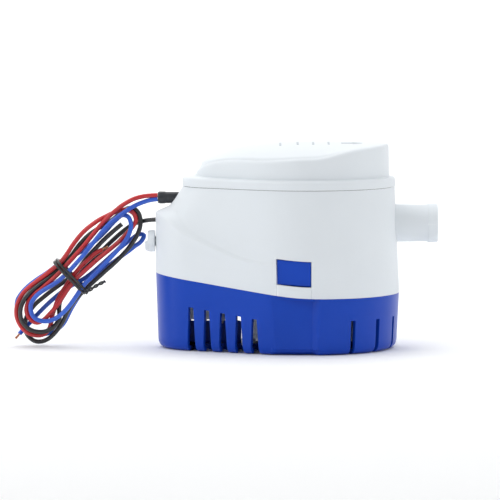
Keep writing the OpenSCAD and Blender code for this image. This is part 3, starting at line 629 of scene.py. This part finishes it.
def plan(r0, reach, r1, inset=0.0):
    """(n, 2) points of a plan outline at every column."""
    r0, r1 = r0 - inset, r1 - inset
    f0, f = FLARE, corner(r0, reach, r1)
    a = np.array([r0 * math.cos(f), r0 * math.sin(f)])
    b = np.array([-reach + r1 * math.cos(f), r1 * math.sin(f)])
    out = []
    for c in COLUMNS:
        if c[0] == "arc":
            t = c[1] / f0 * f
            if abs(c[1]) <= f0 * 0.999:
                t = c[1] + (f - f0) * c[1] / f0 * smooth((abs(c[1]) / f0 - 0.9) * 10)
            out.append((r0 * math.cos(t), r0 * math.sin(t)))
        elif c[0] == "side":
            p = a + (b - a) * c[2]
            out.append((p[0], p[1] * c[1]))
        else:
            t = f + (c[1] - f0) * (2 * math.pi - 2 * f) / (2 * math.pi - 2 * f0)
            out.append((-reach + r1 * math.cos(t), r1 * math.sin(t)))
    return np.array(out)


def seam_plan(inset=0.0):
    return plan(BODY_R, NOSE_REACH, NOSE_R, inset)


def rim_plan(inset=0.0):
    return plan(TOP_R, TOP_REACH, TOP_NOSE_R, inset)


def dome_plan(inset=0.0):
    return plan(DOME_R, DOME_REACH, DOME_NOSE_R, inset)


SEAM = seam_plan()
X0 = SEAM[:, 0]


def housing_point(z, inset=0.0):
    """A row of the housing's wall, at a height per column."""
    a, b = seam_plan(inset), rim_plan(inset)
    k = lean(X0, z)[:, None]
    p = a + (b - a) * k
    return np.column_stack([p, z])


def in_window(i):
    """True where the cell from column i to the next lies in a window's width."""
    a, b = X0[i], X0[(i + 1) % len(X0)]
    inside = min(a, b) > WINDOW_X[0] - 0.02 and max(a, b) < WINDOW_X[1] + 0.02
    return inside and abs(SEAM[i, 1]) > WINDOW_SIDE_Y


def closed_shell(outer, inner, cut):
    """A wall between two grids alike in rows and columns, without cut cells. Rims and openings are closed."""
    m, n = len(outer), len(outer[0])
    verts = [tuple(p) for row in outer for p in row] + [tuple(p) for row in inner for p in row]
    off = m * n
    faces = []

    def gone(k, i):
        return k < 0 or k >= m - 1 or cut(k, i % n)

    for k in range(m - 1):
        for i in range(n):
            if gone(k, i):
                continue
            j = (i + 1) % n
            a, b, c, d = k * n + i, k * n + j, (k + 1) * n + j, (k + 1) * n + i
            faces.append((a, b, c, d))
            faces.append((a + off, d + off, c + off, b + off))
            if gone(k - 1, i):
                faces.append((a, a + off, b + off, b))
            if gone(k + 1, i):
                faces.append((d, c, c + off, d + off))
            if gone(k, i - 1):
                faces.append((a, d, d + off, a + off))
            if gone(k, i + 1):
                faces.append((b, b + off, c + off, c))
    return verts, faces


# -------------------- housing shell
lifts = fill([0, 0.35, *WINDOW_LIFT], 0.5)
rows = [seam_z(X0) + lift for lift in lifts]
start = rows[-1]
rows += [start + (RIM_H - start) * s for s in fill([0, 1], 1 / 88)[1:]]
at_window = [min(abs(x - edge) for edge in WINDOW_X) < 1e-3 and abs(y) > WINDOW_SIDE_Y for x, y in SEAM]
outer, inner = [], []
for r, z in enumerate(rows):
    p = housing_point(z)
    if r < len(lifts) and lifts[r] < WINDOW_LIFT[0] - EPS:
        for i in np.flatnonzero(at_window):
            p[i, :2] *= 1 - GROOVE_DEPTH / np.linalg.norm(p[i, :2])
    outer.append(p)
    inner.append(housing_point(z, WALL))
window_rows = [r for r, lift in enumerate(lifts) if WINDOW_LIFT[0] - EPS <= lift < WINDOW_LIFT[1] - EPS]
verts, faces = closed_shell(outer, inner, lambda k, i: k in window_rows and in_window(i))
housing = mesh_piece("housing_shell", verts, faces, "white_plastic", node="housing", smooth=38)


def cut_round(obj, specs):
    """Applies round holes, each (axis, radius, low, high, centre), through a piece without modifiers."""
    for axis, r, low, high, centre in specs:
        tool = round_solid(axis, r, low, high, centre)
        mod = obj.modifiers.new("hole", "BOOLEAN")
        mod.operation, mod.solver, mod.object = "DIFFERENCE", "EXACT", tool
        bpy.context.view_layer.update()
        deps = bpy.context.evaluated_depsgraph_get()
        made = bpy.data.meshes.new_from_object(obj.evaluated_get(deps))
        obj.modifiers.remove(mod)
        old, obj.data = obj.data, made
        bpy.data.meshes.remove(old)
        bpy.data.objects.remove(tool)


def round_solid(axis, r, low, high, centre):
    verts, faces = loft([turned_ring(axis, along, r, centre, 56, 0.5) for along in (low, high)])
    mesh = bpy.data.meshes.new("tool")
    mesh.from_pydata([tuple(c * MM for c in v) for v in verts], [], faces)
    fix = bmesh.new()
    fix.from_mesh(mesh)
    bmesh.ops.recalc_face_normals(fix, faces=fix.faces)
    fix.to_mesh(mesh)
    fix.free()
    obj = bpy.data.objects.new("tool", mesh)
    bpy.context.scene.collection.objects.link(obj)
    return obj


OUTLET_Z, KNOB_Z, SLEEVE_Z, BLACK_Z = 64.6, 55.2, 77.9, 66.9
cut_round(housing, [
    ("x", 9.95, 35, 60, (0, 0, OUTLET_Z)),
    ("x", 2.6, -90, -70, (0, 0, KNOB_Z)),
    ("x", 3.3, -85, -58, (0, 0, SLEEVE_Z)),
    ("x", 1.35, -85, -70, (0, 0, BLACK_Z)),
])
add_bevel(housing, 0.28, 3)

# deck, motor well and posts inside the housing
DECK_Z, DECK_T = 63.5, 2.0
DECK_TOP = DECK_Z + DECK_T
verts, faces = loft([housing_point(np.full(len(X0), z), WALL + 0.02)[::3] for z in (DECK_Z, DECK_TOP)])
deck = mesh_piece("housing_deck", verts, faces, "white_plastic", node="housing")
cut_round(deck, [("z", 19.0, 50, 80, (0, 0, 0)), ("z", 11.25, 50, 80, (33, 0, 0))])
add_bevel(deck, 0.2)
WELL_Z, WELL_T = 23.4, 3.0


def housing_lathe(name, profile, axis="z", centre=(0, 0, 0), count=40):
    lathe(name, profile, "white_plastic", axis, centre, count, node="housing", smooth=50)


housing_lathe("motor_well", [
    (WELL_Z, 5.0), (WELL_Z, 20.6), (WELL_Z + 0.6, 21.2), (DECK_Z + 4.9, 21.2), (DECK_Z + 5.7, 20.6),
    (DECK_Z + 6.0, 20.1), (DECK_Z + 5.7, 19.3), (DECK_Z + 5.2, 19.0), (WELL_Z + WELL_T + 0.5, 19.0),
    (WELL_Z + WELL_T, 18.5), (WELL_Z + WELL_T, 5.0)], count=96)
for k, (x, y) in enumerate([(24, 24), (24, -24), (-24, 24), (-24, -24)]):
    housing_lathe("volute_post_%d" % k, [
        (WELL_Z, 1.3), (WELL_Z, 3.3), (WELL_Z + 0.3, 3.6), (DECK_Z - 0.9, 3.6), (DECK_Z - 0.1, 4.6),
        (DECK_Z - 0.1, 1.3), (WELL_Z + 12, 1.3)], centre=(x, y, 0))
for k, y in enumerate((-21.5, 21.5)):
    housing_lathe("cage_post_%d" % k, [
        (17.7, 1.3), (17.7, 2.9), (18.0, 3.2), (DECK_Z - 0.9, 3.2), (DECK_Z - 0.1, 4.0), (DECK_Z - 0.1, 1.3)],
        centre=(-45, y, 0))
for k, x in enumerate((-50, -30)):
    housing_lathe("board_post_%d" % k, [
        (DECK_TOP, 3.0), (DECK_TOP + 0.8, 2.4), (73.8, 2.4), (74, 2.2), (74, 0.9), (DECK_Z + 4, 0.9),
        (DECK_TOP, 0.9)], centre=(x, 9, 0), count=32)
housing_lathe("knob_boss", [
    (-76.6, 3.6), (-76.6, 5.2), (-76.3, 5.5), (-74.9, 5.5), (-74.9, 2.55), (-75.7, 2.55), (-75.7, 3.6)],
    "x", (0, 0, KNOB_Z), 48)

# -------------------- outlet elbow and hose spigot
BEAD_X = 47.0  # a low bead round the spigot where it leaves the housing
lathe("outlet_spigot", [
    (40.5, 8.0), (40.5, 9.8), (BEAD_X - 0.9, 9.8), (BEAD_X, 10.05), (BEAD_X + 0.9, 9.86),
    (BEAD_X + 1.6, 9.8), (63.6, 9.76), (63.9, 9.82), (64.1, 10.02), (64.5, 10.1), (68.6, 10.1),
    (69.0, 9.98), (69.2, 9.7), (69.2, 8.5), (69.0, 8.15), (68.5, 8.0)],
    "white_plastic", "x", (0, 0, OUTLET_Z), 128, node="outlet_elbow", smooth=46)
lathe("elbow_socket", [
    (50, 10.05), (50, 10.9), (50.3, 11.2), (74.4, 11.2), (75.2, 10.8), (75.4, 10.0), (75.4, 0.01),
    (73.0, 0.01), (73.0, 8.4), (60.0, 8.4), (60.0, 10.05)],
    "white_plastic", "z", (33, 0, 0), 96, node="outlet_elbow", smooth=46)


# -------------------- lid
def lid_z(p):
    """Height of the lid's top over points in plan."""
    t = np.clip(-p[:, 0] / (DOME_REACH + DOME_NOSE_R), 0, 1)
    spine = DOME_TIP_H + (CROWN_H - DOME_TIP_H) * np.sqrt(1 - t * t)
    fall = 0.0004 * np.maximum(0, p[:, 0]) ** 2
    bow = 0.0036 + 0.0026 * smooth(-p[:, 0] / 45) - 0.0018 * smooth((p[:, 0] - 4) / 26)
    crown = bow * p[:, 1] ** 2
    return np.maximum(DOME_TIP_H, spine - fall - crown)


def flat(points, z):
    """Points in plan, lifted to z."""
    return np.column_stack([points, np.zeros(len(points)) + z])


def edge_ring(inset, drop):
    """A ring of the dome's rounded edge, below the top's height over the dome's outline."""
    return np.column_stack([dome_plan(inset), np.maximum(lid_z(dome_plan(0)) - drop, 90.4)])


def crown_ring(share, drop=0.0):
    """A ring on the dome's top, drawn in towards a centre."""
    centre = np.array([-8.0, 0.0])
    p = centre + (dome_plan(0) - centre) * share
    return np.column_stack([p, lid_z(p) - drop])


def between(a, b, count):
    """Rings that part the way from a to b into count steps."""
    return [a + (b - a) * i / count for i in range(1, count)]


GASKET, LIP_Z = 0.6, RIM_H + 0.22
lid_rings = [flat(rim_plan(WALL + 0.2), RIM_H + GASKET), flat(rim_plan(0.26), RIM_H + GASKET),
             flat(rim_plan(0.22), LIP_Z), flat(rim_plan(-0.25), LIP_Z), flat(rim_plan(-0.4), RIM_H + 0.5)]
lid_rings += between(lid_rings[-1], flat(rim_plan(-0.4), 87.0), 3)
lid_rings += [flat(rim_plan(-0.4), 87.2), flat(rim_plan(-0.3), 87.9), flat(rim_plan(0), 88.45),
              flat(rim_plan(0.45), 88.85), flat(rim_plan(0.9), RIM_TOP)]
tip_rise = 0.7 * smooth((-dome_plan(0)[:, 0] - 44) / 13)
foot_ring = flat(dome_plan(-0.35), 89.1 + tip_rise)
lid_rings += between(lid_rings[-1], foot_ring, 6)
lid_rings += [foot_ring, flat(dome_plan(-0.12), 89.22 + tip_rise)]
wall_low, wall_high = flat(dome_plan(0.05), 89.6 + tip_rise), edge_ring(0.3, 2.4)
lid_rings += [wall_low] + between(wall_low, wall_high, 12)
for k in range(9):
    t = math.radians(90 * k / 8)
    lid_rings.append(edge_ring(2.1 - 1.8 * math.cos(t), 2.4 - 2.32 * math.sin(t)))
last = edge_ring(2.1, 0.08)
first = crown_ring(0.925)
lid_rings += [last + (first - last) * 0.5, first]
lid_rings += [crown_ring(s) for s in (0.9, 0.86, 0.82, 0.77, 0.72, 0.66, 0.6, 0.54, 0.48, 0.42, 0.36, 0.3,
                                      0.24, 0.18, 0.12, 0.07, 0.03, 0.008)]
under = [crown_ring(0.008, 2.3), crown_ring(0.3, 2.3), crown_ring(0.6, 2.3), crown_ring(0.88, 2.5),
         flat(dome_plan(2.8), 88), flat(rim_plan(WALL + 2), 86.8), flat(rim_plan(WALL + 2), 82.6),
         flat(rim_plan(WALL + 0.2), 82.6)]
verts, faces = loft(lid_rings + under, loop=True)
mesh_piece("lid_shell", verts, faces, "white_plastic", node="top_cover", smooth=50)

# -------------------- strainer base
SEAM_GAP, BASE_INSET, FOOT_INSET, FOOT_Z = 0.06, 0.12, 1.26, 6
FLOOR_T = 2.5
SIDE_X = (-63.0, -20.8)  # the straight sides, where slot_warp moves columns


def slot_top(x):
    """Height of the slots' upper ends."""
    left = 13.9 + (x + 59) * 0.004
    right = SEAM_H - 17.2
    return seam_z(x) - (left + (right - left) * smooth((x + 20) / 30))


FOOT_PROFILE = [(5.4, 0.0), (4.4, 0.1), (3.5, 0.45), (2.7, 1.05), (2.05, 1.85), (1.6, 2.9), (1.38, 4.2),
                (FOOT_INSET, FOOT_Z)]
DEEP = 6.0
SEAM_DEEP = seam_plan(DEEP)


def slot_warp(z):
    """Moves, in X and Y, of the columns on the straight sides, so that slot edges follow the slots' taper."""
    top = slot_top(X0)
    spread = (SLOT_FOOT - SLOT_TOP) * (1 - np.clip((z - 1.5) / (top - 1.5), 0, 1))
    knots = [SIDE_X[0]] + [c + d for c in SLOTS for d in (-SLOT_TOP, 0, SLOT_TOP)] + [SIDE_X[1]]
    moves = [0.0] + [-1.0, 0.0, 1.0] * len(SLOTS) + [0.0]
    on_side = (X0 > SIDE_X[0]) & (X0 < SIDE_X[1]) & (np.abs(SEAM[:, 1]) > SLOT_SIDE_Y)
    shift = np.interp(X0, knots, moves) * spread * on_side
    return np.column_stack([shift, -shift * math.tan(math.pi / 2 - FLARE) * np.sign(SEAM[:, 1])])


def panel_limit(x):
    """The largest |y| that the base may have at x: the recessed panels, front and rear."""
    limit = np.full(len(x), 99.0)
    a, b, c, d = PANEL_X
    flat_part = (x >= b - 1e-6) & (x <= c + 1e-6)
    left = (x > a) & (x < b)
    right = (x > c) & (x < d)
    limit[flat_part] = PANEL_Y
    limit[left] = PANEL_Y + (b - x[left]) / (b - a) * 0.3
    limit[right] = PANEL_Y + (x[right] - c) / (d - c) * 3.4
    return limit


def base_points(inset, z):
    """A row of the base's wall, with an inset and a height per column."""
    p = SEAM + (SEAM_DEEP - SEAM) * (inset / DEEP)[:, None] + slot_warp(z)
    limit = panel_limit(X0)
    y = np.sign(p[:, 1]) * np.minimum(np.abs(p[:, 1]), limit - (inset > 2) * (inset - 0.2))
    return np.column_stack([p[:, 0], y, z])


full = np.ones(len(X0))
foot_rows = [(full * inset, full * z) for inset, z in FOOT_PROFILE]
top_z = seam_z(X0) - SEAM_GAP
heights = [FOOT_Z + (slot_top(X0) - FOOT_Z) * s for s in fill([0, 1], 1 / 11)[1:]]
slot_row = len(foot_rows) + len(heights) - 1
heights += [slot_top(X0) + (top_z - slot_top(X0)) * s for s in fill([0, 1], 1 / 13)[1:]]
wall_rows = [(FOOT_INSET + (BASE_INSET - FOOT_INSET) * (z - FOOT_Z) / (top_z - FOOT_Z), z) for z in heights]
base_outer = [base_points(inset, z) for inset, z in foot_rows + wall_rows]
base_inner = [base_points(np.maximum(inset + 0.6, 3.6), np.maximum(z, FLOOR_T)) for inset, z in foot_rows]
base_inner += [base_points(inset + WALL, np.maximum(z, FLOOR_T)) for inset, z in wall_rows]

# the floor: from the wall to a line where the slots stop, then on to the spine in the middle
stops, spine = [], []
for i, c in enumerate(COLUMNS):
    x, y = SEAM[i]
    if c[0] == "arc":
        t = c[1]
        stops.append((34 * math.cos(t), 34 * math.sin(t)))
        spine.append((2.0 * math.cos(t), 2.0 * math.sin(t)))
    elif c[0] == "side":
        stops.append((x, math.copysign(12.0, y)))
        spine.append((x * 0.995, math.copysign(1.0, y)))
    else:
        stops.append((-NOSE_REACH + 12 * math.cos(c[1]), 12 * math.sin(c[1])))
        spine.append((-NOSE_REACH + 1.0 * math.cos(c[1]), 1.0 * math.sin(c[1])))
stops, spine = np.array(stops), np.array(spine)


def floor_rings(z, edge):
    """Five rings of the floor, from the spine out. The third is the line where the slots stop."""
    rings = [flat(edge[:, :2] + (stops - edge[:, :2]) * s, z) for s in (0.33, 0.66, 1.0)]
    rings += [flat(stops + (spine - stops) * s, z) for s in (0.5, 1.0)]
    return rings[::-1]


outer = floor_rings(0.0, base_outer[0]) + base_outer
inner = floor_rings(FLOOR_T, base_inner[0]) + base_inner
FLOOR_ROWS, STOP_ROW = 5, 2


def slot_cell(i):
    """True where the cell from column i to the next lies in a slot's width."""
    j = (i + 1) % len(X0)
    a, b = COLUMNS[i], COLUMNS[j]
    if a[0] == "arc" and b[0] == "arc":
        half = math.asin(FAN_HALF / BODY_R) + 1e-5
        return any(abs(a[1] - f) < half and abs(b[1] - f) < half for f in FANS)
    half = SLOT_TOP + 1e-3
    on_side = abs(SEAM[i, 1]) > SLOT_SIDE_Y
    return on_side and any(abs(X0[i] - c) < half and abs(X0[j] - c) < half for c in SLOTS)


def base_cut(k, i):
    return STOP_ROW <= k < FLOOR_ROWS + slot_row and slot_cell(i)


verts, faces = closed_shell(outer, inner, base_cut)
base = mesh_piece("base_shell", verts, faces, "blue_plastic", node="strainer_base", smooth=36)
cut_round(base, [("z", 2.2, -1, 4, (sx * 18, sy * 24, 0)) for sx in (-1, 1) for sy in (-1, 1)])
add_bevel(base, 0.3, 3, 40)
verts, faces = loft([flat(spine, 0), flat(spine, FLOOR_T)])
mesh_piece("base_spine", verts, faces, "blue_plastic", node="strainer_base")
LIP_PROFILE = [(2.56, -1.5), (2.56, 2.7), (2.8, 3.0), (3.9, 3.0), (4.15, 2.7), (4.15, -1.5)]
verts, faces = loft([flat(seam_plan(inset), seam_z(X0) + rise) for inset, rise in LIP_PROFILE], loop=True)
mesh_piece("base_lip", verts, faces, "blue_plastic", node="strainer_base", smooth=50)
for side, name in ((-1, "front"), (1, "rear")):
    back = [(-17.8, 1.6), (6.4, 1.6), (6.4, seam_z(6.4) - 0.5), (-17.8, seam_z(-17.8) - 0.5)]
    base_slab("panel_back_" + name, back, *sorted((side * 44.6, side * 42.6)), 0.25)
    ledge = [(-10, 17), (-2, 17), (-2, 20.8), (-10, 20.8)]
    base_slab("latch_ledge_" + name, ledge, *sorted((side * 41.6, side * 44.2)), 0.4)
    tab = frame["nodes"]["lock_tab_" + name]
    add_bevel(tab, 0.35, 3, 40)
    for face in tab.data.polygons:
        face.use_smooth = True
RIB = [(-66, 2.4), (-33.1, 2.4), (-33.1, 13.0), (-34.1, 13.5), (-65, 13.5), (-66, 13.0)]
base_slab("base_rib", RIB, -1, 1, 0.3)


# -------------------- marks on the lid: a plain flow arrow and ticks
def raised_mark(name, outline):
    """A low raised shape that follows the lid's top."""
    height = 0.22
    pts = np.array(outline, float)
    centre = pts.mean(0)
    shrunk = centre + (pts - centre) * 0.94
    verts, faces = loft([flat(pts, lid_z(pts) - 0.3), flat(pts, lid_z(pts) + height * 0.7),
                         flat(shrunk, lid_z(shrunk) + height)])
    mesh_piece(name, verts, faces, "white_plastic", smooth=30, mat="mark_grey")


for k, x in enumerate((-13.5, -4.5, 3.5, 11.5)):
    raised_mark("lid_tick_%d" % k, [(x, -16.5), (x + 1.1, -16.5), (x + 1.1, -7.5), (x, -7.5)])
raised_mark("lid_arrow", [(18.5, -13.2), (24.5, -13.2), (24.5, -16.2), (29.5, -12.0), (24.5, -7.8),
                          (24.5, -10.8), (18.5, -10.8)])

# -------------------- test knob
ON_KNOB = dict(body="knob_unit", node="test_knob", smooth=50)
lathe("knob_disc", [
    (-78.2, 2.4), (-78.2, 5.3), (-78.5, 5.66), (-79.0, 5.7), (-81.2, 5.64), (-81.7, 5.45), (-81.95, 5.0),
    (-82.0, 2.0), (-82.0, 0.02), (-78.2, 0.02)], "white_plastic", "x", (0, 0, KNOB_Z), 96, **ON_KNOB)
lathe("knob_stem", [(-79, 0.02), (-79, 2.5), (-73.2, 2.5), (-72.9, 2.3), (-72.9, 0.02)],
      "white_plastic", "x", (0, 0, KNOB_Z), 48, **ON_KNOB)
angles = [math.radians(a) for a in range(182, 359, 6)]
grip = [[(x, r * math.cos(a), KNOB_Z + r * math.sin(a)) for a in angles]
        for x, r in ((-81.8, 5.2), (-82.6, 5.1), (-83.1, 4.85), (-83.3, 4.4))]
verts, faces = loft(grip)
add_bevel(mesh_piece("knob_grip", verts, faces, "white_plastic", **ON_KNOB), 0.35, 3, 40)

# -------------------- heat-shrink sleeve, wrinkled where the leads part
rng = np.random.default_rng(5)
sleeve_rings = []
profile = [(-76.55, 1.9), (-76.6, 2.6), (-76.4, 3.05), (-75.6, 3.2), (-74.6, 3.25), (-73.4, 3.24),
           (-72.7, 3.2), (-72.4, 3.0), (-72.0, 3.0), (-70.5, 2.98), (-69, 2.97), (-67, 2.97),
           (-65, 2.97), (-62, 2.97), (-59.8, 2.97), (-59.6, 2.8), (-59.6, 1.6)]
wave = rng.uniform(0, 2 * math.pi, (len(profile), 3))
for k, (x, r) in enumerate(profile):
    ring = []
    loose = 1.0 if x < -72.2 else 0.35  # more creased towards the free end
    for i in range(64):
        t = 2 * math.pi * i / 64
        squeeze = 1 - 0.055 * loose * abs(math.sin(t)) ** 3
        crease = 0.035 * loose * math.sin(5 * t + wave[k][0]) + 0.02 * loose * math.sin(9 * t + wave[k][1])
        rr = r * squeeze * (1 - abs(crease) * (k > 0))
        ring.append((x, rr * math.sin(t) * 0.97, SLEEVE_Z + rr * math.cos(t)))
    sleeve_rings.append(ring)
verts, faces = loft(sleeve_rings)
mesh_piece("heat_shrink_sleeve", verts, faces, "sleeve_black", node="cable_sleeve", smooth=70)

# -------------------- twist tie round the hank's waist
TIE_AT = np.array([-122.2, 36.5])  # the waist's middle in X and Z
ALONG = np.array([24.7, 24.0]) / math.hypot(24.7, 24.0)
ACROSS = np.array([-ALONG[1], ALONG[0]])


def tie_point(a, shift):
    """A point of the band, a rounded box round the strands."""
    c, s = math.cos(a), math.sin(a)
    across = 11.3 * abs(c) ** 0.62 * (1 if c > 0 else -1)
    deep = 6.6 * abs(s) ** 0.62 * (1 if s > 0 else -1)
    x, z = TIE_AT + ACROSS * across + ALONG * shift
    return (x, 2.0 + deep, z)


for k, shift in enumerate((-0.85, 0.85)):
    band = [tie_point(2 * math.pi * i / 96, shift) for i in range(96)]
    rings = tube(band + band[:1], 0.8)[:-1]
    verts, faces = loft(rings, loop=True)
    mesh_piece("tie_band_%d" % k, verts, faces, "tie_black", node="twist_tie", smooth=70)
foot = TIE_AT - ACROSS * 11.4
for k in (0, 1):
    tail = []
    for i in range(60):
        s = i / 59
        x, y, z = foot[0] + 10.2 * s, -4.6 + 1.2 * s, foot[1] + 7.6 * s - 1.6 * s * s
        swirl = 0.55 * math.cos(12 * s + math.pi * k), 0.55 * math.sin(12 * s + math.pi * k)
        tail.append((x - 0.6 * swirl[0], y + swirl[1], z + 0.8 * swirl[0]))
    verts, faces = loft(tube(tail, 0.5, 10))
    mesh_piece("tie_tail_%d" % k, verts, faces, "tie_black", node="twist_tie", smooth=70)

# -------------------- soft edges on moulded CAD pieces inside
for name in ("volute_casing", "volute_cover", "float_cage", "motor_end_cap"):
    add_bevel(frame["nodes"][name], 0.25, 2, 40)


# -------------------- floor, backdrop and light
def stage_sheet():
    """A sheet of paper that is the floor in front and curves up behind."""
    xs = np.linspace(-3.0, 3.0, 25)
    path = [(-3.0, 0.0), (-1.0, 0.0), (0.0, 0.0), (1.0, 0.0), (1.6, 0.0), (2.0, 0.05), (2.3, 0.2),
            (2.5, 0.45), (2.6, 0.8), (2.62, 1.6), (2.62, 3.0)]
    verts = [(x, y, z - 0.0002) for y, z in path for x in xs]
    faces = []
    w = len(xs)
    for k in range(len(path) - 1):
        for i in range(w - 1):
            a = k * w + i
            faces.append((a, a + 1, a + w + 1, a + w))
    mesh = bpy.data.meshes.new("floor")
    mesh.from_pydata(verts, [], faces)
    for face in mesh.polygons:
        face.use_smooth = True
    obj = bpy.data.objects.new("floor", mesh)
    bpy.context.scene.collection.objects.link(obj)
    m = Nodes("studio_paper")
    fibre = m.noise(900, 4, 0.6)
    cloud = m.noise(3, 3, 0.5)
    base = m.ramp(cloud, [(0.3, (0.985, 0.985, 0.985, 1)), (0.7, (1, 1, 1, 1))])
    mesh.materials.append(m.finish(base, m.span(fibre, 0.85, 0.95), (fibre, 0.02, 0.2)))


stage_sheet()


def area_light(name, place, target, size, watts, colour=(1, 1, 1), size_y=None):
    data = bpy.data.lights.new(name, "AREA")
    data.shape = "RECTANGLE"
    data.size, data.size_y = size, size_y or size
    data.energy = watts
    data.color = colour
    lamp = bpy.data.objects.new(name, data)
    bpy.context.scene.collection.objects.link(lamp)
    lamp.location = place
    aim = Vector(target) - Vector(place)
    lamp.rotation_euler = aim.to_track_quat("-Z", "Y").to_euler()


PUMP, COOL = (0, 0, 0.05), (0.97, 0.99, 1.0)
area_light("key", (-1.6, -1.4, 2.0), PUMP, 1.3, 15.5)
area_light("fill", (1.5, -1.7, 1.4), PUMP, 1.3, 6)
area_light("left_strip", (-1.5, -0.1, 0.5), PUMP, 0.5, 4.5, COOL, 1.2)
area_light("right_strip", (1.5, 0.0, 0.5), PUMP, 0.5, 3, COOL, 1.2)
area_light("top", (0, 0.2, 2.0), PUMP, 2.0, 1.5)
area_light("backdrop", (0, 1.0, 2.2), (0, 2.6, 0.4), 2.6, 46)

world = bpy.data.worlds.new("studio")
bpy.context.scene.world = world
world.use_nodes = True
world.node_tree.nodes["Background"].inputs["Color"].default_value = (0.97, 0.985, 1.0, 1)
world.node_tree.nodes["Background"].inputs["Strength"].default_value = 0.45
bpy.context.scene.view_settings.view_transform = "Standard"
bpy.context.scene.view_settings.look = "None"

bpy.context.view_layer.update()
